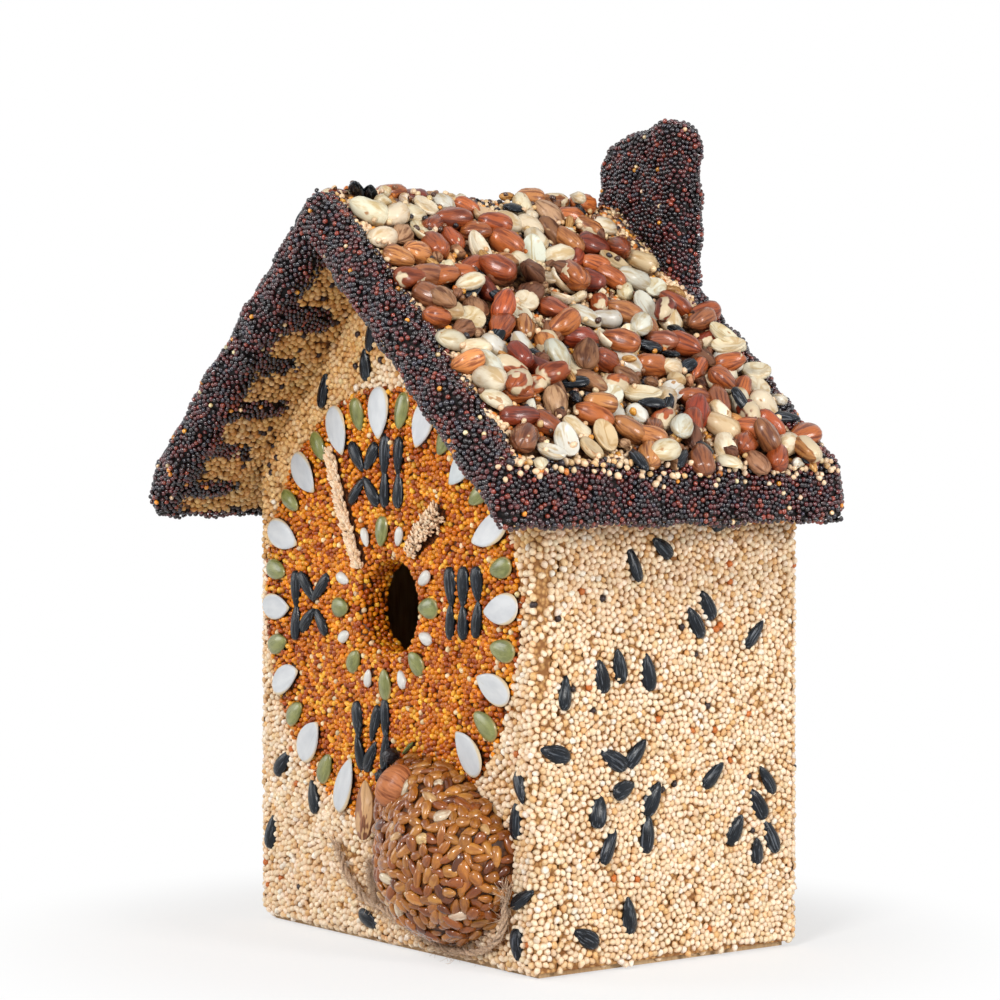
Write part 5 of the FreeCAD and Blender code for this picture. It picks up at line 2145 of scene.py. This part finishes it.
WHITE_MILLET = Palette(
    ((0.80, 0.62, 0.42), (0.87, 0.72, 0.54), (0.76, 0.53, 0.30), (0.70, 0.43, 0.19), (0.84, 0.77, 0.66),
     (0.52, 0.15, 0.03), (0.03, 0.018, 0.018)),
    (0.42, 0.32, 0.15, 0.05, 0.045, 0.004, 0.004), 0.05)
# Millet near the roof on the front and back: darker and yellower, painted shade under the eaves with the glaze's
# yellower tone.
SHADED_GABLE_MILLET = Palette(
    ((0.66, 0.40, 0.16), (0.74, 0.49, 0.23), (0.56, 0.29, 0.085), (0.74, 0.53, 0.29), (0.03, 0.015, 0.015)),
    (0.40, 0.28, 0.17, 0.12, 0.02), 0.07)
# Millet under the eaves: darker and warmer than the walls' millet, painted shade with warm bounced light in it.
SHADED_SOFFIT_MILLET = Palette(
    ((0.66, 0.39, 0.14), (0.72, 0.46, 0.19), (0.54, 0.27, 0.075), (0.72, 0.50, 0.25), (0.03, 0.015, 0.015)),
    (0.40, 0.28, 0.17, 0.12, 0.03), 0.08)
RED_MILLET = Palette(
    ((0.56, 0.150, 0.004), (0.74, 0.26, 0.008), (0.34, 0.062, 0.003), (0.86, 0.44, 0.040), (0.84, 0.66, 0.40)),
    (0.36, 0.28, 0.22, 0.11, 0.025), 0.12)
RAPESEED = Palette(
    ((0.012, 0.007, 0.011), (0.046, 0.010, 0.014), (0.105, 0.017, 0.019), (0.020, 0.018, 0.032),
     (0.22, 0.038, 0.020), (0.72, 0.29, 0.03), (0.74, 0.57, 0.35)),
    (0.32, 0.29, 0.20, 0.11, 0.07, 0.009, 0.010), 0.18)
GAP_SEEDS = Palette(
    ((0.76, 0.57, 0.36), (0.66, 0.43, 0.21), (0.58, 0.18, 0.020), (0.68, 0.30, 0.04), (0.018, 0.011, 0.015),
     (0.20, 0.085, 0.035), (0.07, 0.03, 0.018)),
    (0.36, 0.14, 0.10, 0.06, 0.16, 0.10, 0.08), 0.10)
BORDER_SEEDS = Palette(((0.80, 0.59, 0.38), (0.86, 0.67, 0.46), (0.70, 0.45, 0.20)), (0.6, 0.25, 0.15), 0.05)
PLAIN = Palette(((1.0, 1.0, 1.0),), (1.0,), 0.06)
RED_SKINS = Palette(
    ((0.33, 0.070, 0.018), (0.42, 0.115, 0.030), (0.21, 0.032, 0.011), (0.50, 0.20, 0.062), (0.29, 0.095, 0.038)),
    (0.29, 0.27, 0.17, 0.14, 0.13), 0.14)
BLANCHED = Palette(
    ((0.68, 0.59, 0.42), (0.64, 0.62, 0.54), (0.58, 0.43, 0.25), (0.72, 0.64, 0.48)),
    (0.32, 0.28, 0.13, 0.27), 0.07)
BROWN_KERNELS = Palette(
    ((0.24, 0.105, 0.048), (0.33, 0.165, 0.080), (0.15, 0.060, 0.030), (0.42, 0.25, 0.135)),
    (0.35, 0.25, 0.22, 0.18), 0.12)
GOLDEN = Palette(((0.56, 0.31, 0.10), (0.48, 0.24, 0.07)), (0.6, 0.4), 0.1)
HEARTS = Palette(
    ((0.35, 0.125, 0.017), (0.44, 0.185, 0.034), (0.25, 0.070, 0.010), (0.13, 0.034, 0.006), (0.58, 0.37, 0.16),
     (0.64, 0.54, 0.38)),
    (0.38, 0.24, 0.24, 0.08, 0.04, 0.02), 0.08)
HUSKS = Palette(((0.90, 0.66, 0.45), (0.92, 0.74, 0.55), (0.80, 0.54, 0.33)), (0.5, 0.3, 0.2), 0.05)

MILLET_WALLS = ("front_millet_coat", "back_millet_coat", "left_wall_coat", "right_wall_coat")
SOFFITS = ("left_soffit_coat", "right_soffit_coat")
RAPESEED_TRIMS = ("front_rake_trim", "back_rake_trim", "left_eave_trim", "right_eave_trim", "chimney_coat")


WALL_FOOT = ((-90.0, -50.0, -1.0), (90.0, 90.0, 2.2))
CORNER_STRIP = ((78.0, -38.9, 92.0), (84.0, -35.4, 134.0))


def crusts(millet: Grain, rapeseed: Grain) -> list[Crust]:
    """List the crusts of small seeds.

    Args:
        millet: The millet grain.
        rapeseed: The rapeseed.

    Returns:
        The crusts.
    """
    white = SmallSeedFinish("white millet", 0.36, 0.35, 0.9 * MM, 0.15, 0.04 * MM, 0.3)
    yellow = SmallSeedFinish("soffit millet", 0.40, 0.4, 0.9 * MM, 0.15, 0.04 * MM, 0.25)
    millet_glue = GlueFinish("millet glue", (0.24, 0.10, 0.028), (0.60, 0.34, 0.13), 1.6 * MM)
    # The glue under the eaves is darker than the walls' glue: painted shade.
    shaded_soffit_glue = GlueFinish("shaded soffit glue", (0.06, 0.022, 0.008), (0.20, 0.09, 0.03), 1.6 * MM)
    return [
        Crust(MILLET_WALLS, 1.26 * MM, 2.38 * MM, millet, WHITE_MILLET, white, millet_glue,
              bare=(WALL_FOOT, CORNER_STRIP), upper=SHADED_GABLE_MILLET, luck=3),
        Crust(SOFFITS, 1.26 * MM, 2.38 * MM, millet, SHADED_SOFFIT_MILLET, yellow, shaded_soffit_glue, luck=4),
        Crust(("clock_dial_coat",), 1.09 * MM, 2.06 * MM, millet, RED_MILLET,
              SmallSeedFinish("red millet", 0.24, 0.4, 0.8 * MM, 0.3, 0.03 * MM, 0.25),
              GlueFinish("red millet glue", (0.035, 0.009, 0.003), (0.15, 0.04, 0.008), 1.4 * MM), luck=5),
        Crust(RAPESEED_TRIMS, 0.90 * MM, 1.86 * MM, rapeseed, RAPESEED,
              SmallSeedFinish("rapeseed", 0.17, 0.3, 0.7 * MM, 0.7, 0.02 * MM, 0.4),
              GlueFinish("rapeseed glue", (0.004, 0.003, 0.003), (0.014, 0.007, 0.006), 1.2 * MM),
              rise=0.16, lumps=2.1 * MM, luck=8),
    ]


def nut_kinds(sunflower: Grain, hull: bpy.types.Material) -> list[NutKind]:
    """List what lies on the roof.

    Args:
        sunflower: The sunflower seed.
        hull: Its finish.

    Returns:
        The kinds.
    """
    skin = KernelFinish("peanut skin", (0.60, 0.47, 0.30), 0.72, (0.38, 0.26, 0.22), 0.26, 0.45, 0.35 * MM,
                        3.2).material()
    torn = KernelFinish("torn peanut skin", (0.62, 0.50, 0.33), 0.54, (0.38, 0.26, 0.22), 0.36, 0.2, 0.35 * MM,
                        cloud_size=1.5).material()
    bare = KernelFinish("blanched peanut", (0.40, 0.22, 0.10), 0.70, (0.74, 0.60, 0.42), 0.36, 0.25, 0.16 * MM,
                        1.2).material()
    shrunk = KernelFinish("wrinkled kernel", (0.40, 0.24, 0.12), 0.68, (0.32, 0.22, 0.17), 0.45, 0.1,
                          0.7 * MM, 1.8).material()
    wheat = KernelFinish("wheat", (0.66, 0.44, 0.20), 0.66, (0.45, 0.30, 0.16), 0.4, 0.2, 0.1 * MM).material()
    chips = (nut_chip(1), nut_chip(2), nut_chip(5))
    return [
        NutKind("skinned_peanuts", (whole_peanut(1), whole_peanut(2), whole_peanut(5)), (6.2, 3.9, 3.6), 0.26,
                RED_SKINS, skin, "peanuts"),
        NutKind("torn_peanuts", (whole_peanut(3),), (6.1, 3.9, 3.5), 0.07, RED_SKINS, torn, "peanuts"),
        NutKind("blanched_peanuts", (whole_peanut(4),), (5.6, 3.6, 3.3), 0.07, BLANCHED, bare, "peanuts"),
        NutKind("round_halves", (split_peanut(HalfLie.ROUND_UP),), (6.3, 4.1, 3.8), 0.09, BLANCHED, bare, "peanuts",
                rise=0.45),
        NutKind("flat_halves", (split_peanut(HalfLie.FLAT_UP),), (6.3, 4.1, 3.8), 0.10, BLANCHED, bare, "peanuts",
                tilt=0.3, rise=0.5),
        NutKind("wrinkled_kernels", (wrinkled_kernel(),), (6.4, 3.9, 3.1), 0.08, BROWN_KERNELS, shrunk, "peanuts"),
        NutKind("kernel_discs", (kernel_disc(),), (5.0, 4.7, 1.7), 0.035, BLANCHED, bare, "peanuts", tilt=0.35,
                rise=1.4),
        NutKind("sunflower_seeds", (sunflower,), (5.4, 2.3, 1.5), 0.07, PLAIN, hull, "sunflower_seed", tilt=0.35,
                rise=1.6),
        NutKind("nut_chips", chips, (2.9, 2.3, 2.0), 0.16, BROWN_KERNELS, shrunk, "nut_bed", rise=0.9),
        NutKind("pale_chips", chips, (3.0, 2.4, 2.0), 0.07, BLANCHED, bare, "nut_bed", rise=0.9),
        NutKind("wheat_grains", (wheat_grain(),), (3.4, 1.5, 1.4), 0.06, GOLDEN, wheat, "nut_bed", rise=1.5),
    ]


def clock_face(sunflower: Grain, hull: bpy.types.Material, millet: Grain) -> None:
    """Lay the rings, the numerals and the hands.

    Args:
        sunflower: The sunflower seed.
        hull: Its finish.
        millet: The millet grain that the hands' husks are made of.
    """
    front = towards((0, -1, 0))
    pale = StreakedHullFinish("pumpkin seed hull", (0.50, 0.52, 0.545), (0.60, 0.615, 0.63), (0.47, 0.47, 0.46),
                              (0.62, 0.50, 0.32), rim_start=0.70, roughness=0.36, glaze=0.1, ridges=0.04 * MM,
                              stretch=(0.6, 2.0, 1.0), shine=0.3).material()
    green = StreakedHullFinish("hulled pumpkin seed", (0.115, 0.125, 0.022), (0.235, 0.245, 0.070), (0.40, 0.39, 0.19),
                               (0.36, 0.27, 0.09), rim_start=0.80, roughness=0.30, glaze=0.4,
                               ridges=0.16 * MM, stretch=(0.8, 3.5, 2.0)).material()
    white = StreakedHullFinish("safflower hull", (0.60, 0.59, 0.55), (0.68, 0.67, 0.64), (0.46, 0.38, 0.26),
                               (0.8, 0.7, 0.5), roughness=0.35).material()
    husk = KernelFinish("millet husk", (0.86, 0.70, 0.50), 0.6, (0.84, 0.72, 0.60), 0.5, 0.05, 0.1 * MM).material()
    pepita = hulled_pumpkin_seed()
    LaidSeeds("pumpkin_seed_ring", pumpkin_seed(), pale, front, PLAIN, thickness=0.8, rise=0.35, luck=61).build()
    for node in ("outer_pepita_ring", "inner_pepita_ring"):
        LaidSeeds(node, pepita, green, front, PLAIN, thickness=1.1, width=1.14, length=1.08, rise=0.4,
                  luck=62).build()
    LaidSeeds("safflower_ring", safflower_seed(), white, front, PLAIN, thickness=1.05, width=1.15, rise=0.35, luck=63).build()
    for i, numeral in enumerate(("numeral_12", "numeral_3", "numeral_6", "numeral_9")):
        LaidSeeds(numeral, sunflower, hull, front, PLAIN, width=1.12, length=1.24, thickness=1.3, rise=0.36,
                  sway=0.05, lean=1.75, luck=64 + i).build()
    MilletSpray("minute_hand", (-16.2, 128.4), (-35.2, 168.2), 3.7 * MM, 430, 0.05, HUSKS, 71).build(millet, husk)
    MilletSpray("hour_hand", (14.0, 134.0), (31.0, 148.8), 4.6 * MM, 360, 0.35, HUSKS, 72).build(millet, husk)


def main() -> None:
    """Build the house on the frame."""
    logging.basicConfig(level=logging.INFO, format="%(message)s")
    Studio().build()
    Case().dress()
    millet = millet_grain()
    for crust in crusts(millet, rapeseed_grain()):
        crust.build()
    sunflower = sunflower_seed()
    hull = StreakedHullFinish("sunflower hull", (0.003, 0.004, 0.006), (0.009, 0.013, 0.019), (0.095, 0.108, 0.128),
                              (0.003, 0.004, 0.007), fleck_start=0.55, roughness=0.22, glaze=0.06,
                              shine=0.24).material()
    clock_face(sunflower, hull, millet)
    lean = math.sin(PITCH)
    for i, (node, way) in enumerate((("front_sunflower_seeds", (0, -1, 0)), ("right_wall_sunflower_seeds", (1, 0, 0)),
                                     ("left_wall_sunflower_seeds", (-1, 0, 0)), ("back_sunflower_seeds", (0, 1, 0)),
                                     ("rake_sunflower_seeds", (-lean, 0, math.cos(PITCH))))):
        LaidSeeds(node, sunflower, hull, towards(way), PLAIN, width=1.16, length=1.14, thickness=1.3, rise=0.3,
                  sway=0.09, luck=81 + i).build()
    nuts = Roof(nut_kinds(sunflower, hull)).build()
    GapFill(GAP_SEEDS, BORDER_SEEDS, SmallSeedFinish("gap seeds", 0.35, 0.4, 0.9 * MM),
            GlueFinish("nut bed", (0.05, 0.02, 0.01), (0.30, 0.15, 0.06), 1.8 * MM)).build(millet, nuts)
    mouse = Mouse()
    glue = GlueFinish("burnt glaze", (0.030, 0.009, 0.003), (0.13, 0.040, 0.008), 2.0 * MM).material()
    mouse.body(sunflower_heart(), GlazedHeartFinish("glazed hearts").material(), glue, HEARTS)
    ear = KernelFinish("ear kernel", (0.30, 0.13, 0.06), 0.9, (0.42, 0.30, 0.26), 0.4, 0.12, 0.5 * MM, 5.0)
    mouse.ear("mouse_near_ear", False, ear.material(), (0.42, 0.145, 0.050), (1.8, -0.4, -1.4), (1.16, 1.16, 1.1))
    cheek = KernelFinish("cheek kernel", (0.62, 0.36, 0.17), 0.48, (0.45, 0.3, 0.2), 0.5, 0.1, 0.5 * MM)
    mouse.ear("mouse_far_ear", True, cheek.material(), (0.30, 0.12, 0.055), (-5.5, -1.0, 0.0), (1.0, 1.05, 1.6))
    dried = KernelFinish("dried berry", (0.02, 0.012, 0.014), 0.7, (0.3, 0.25, 0.3), 0.35, 0.3, 0.8 * MM, 2.0)
    mouse.berries(dried.material())
    Twine().build(TwineFinish("jute").material())


if __name__ == "__main__":
    main()
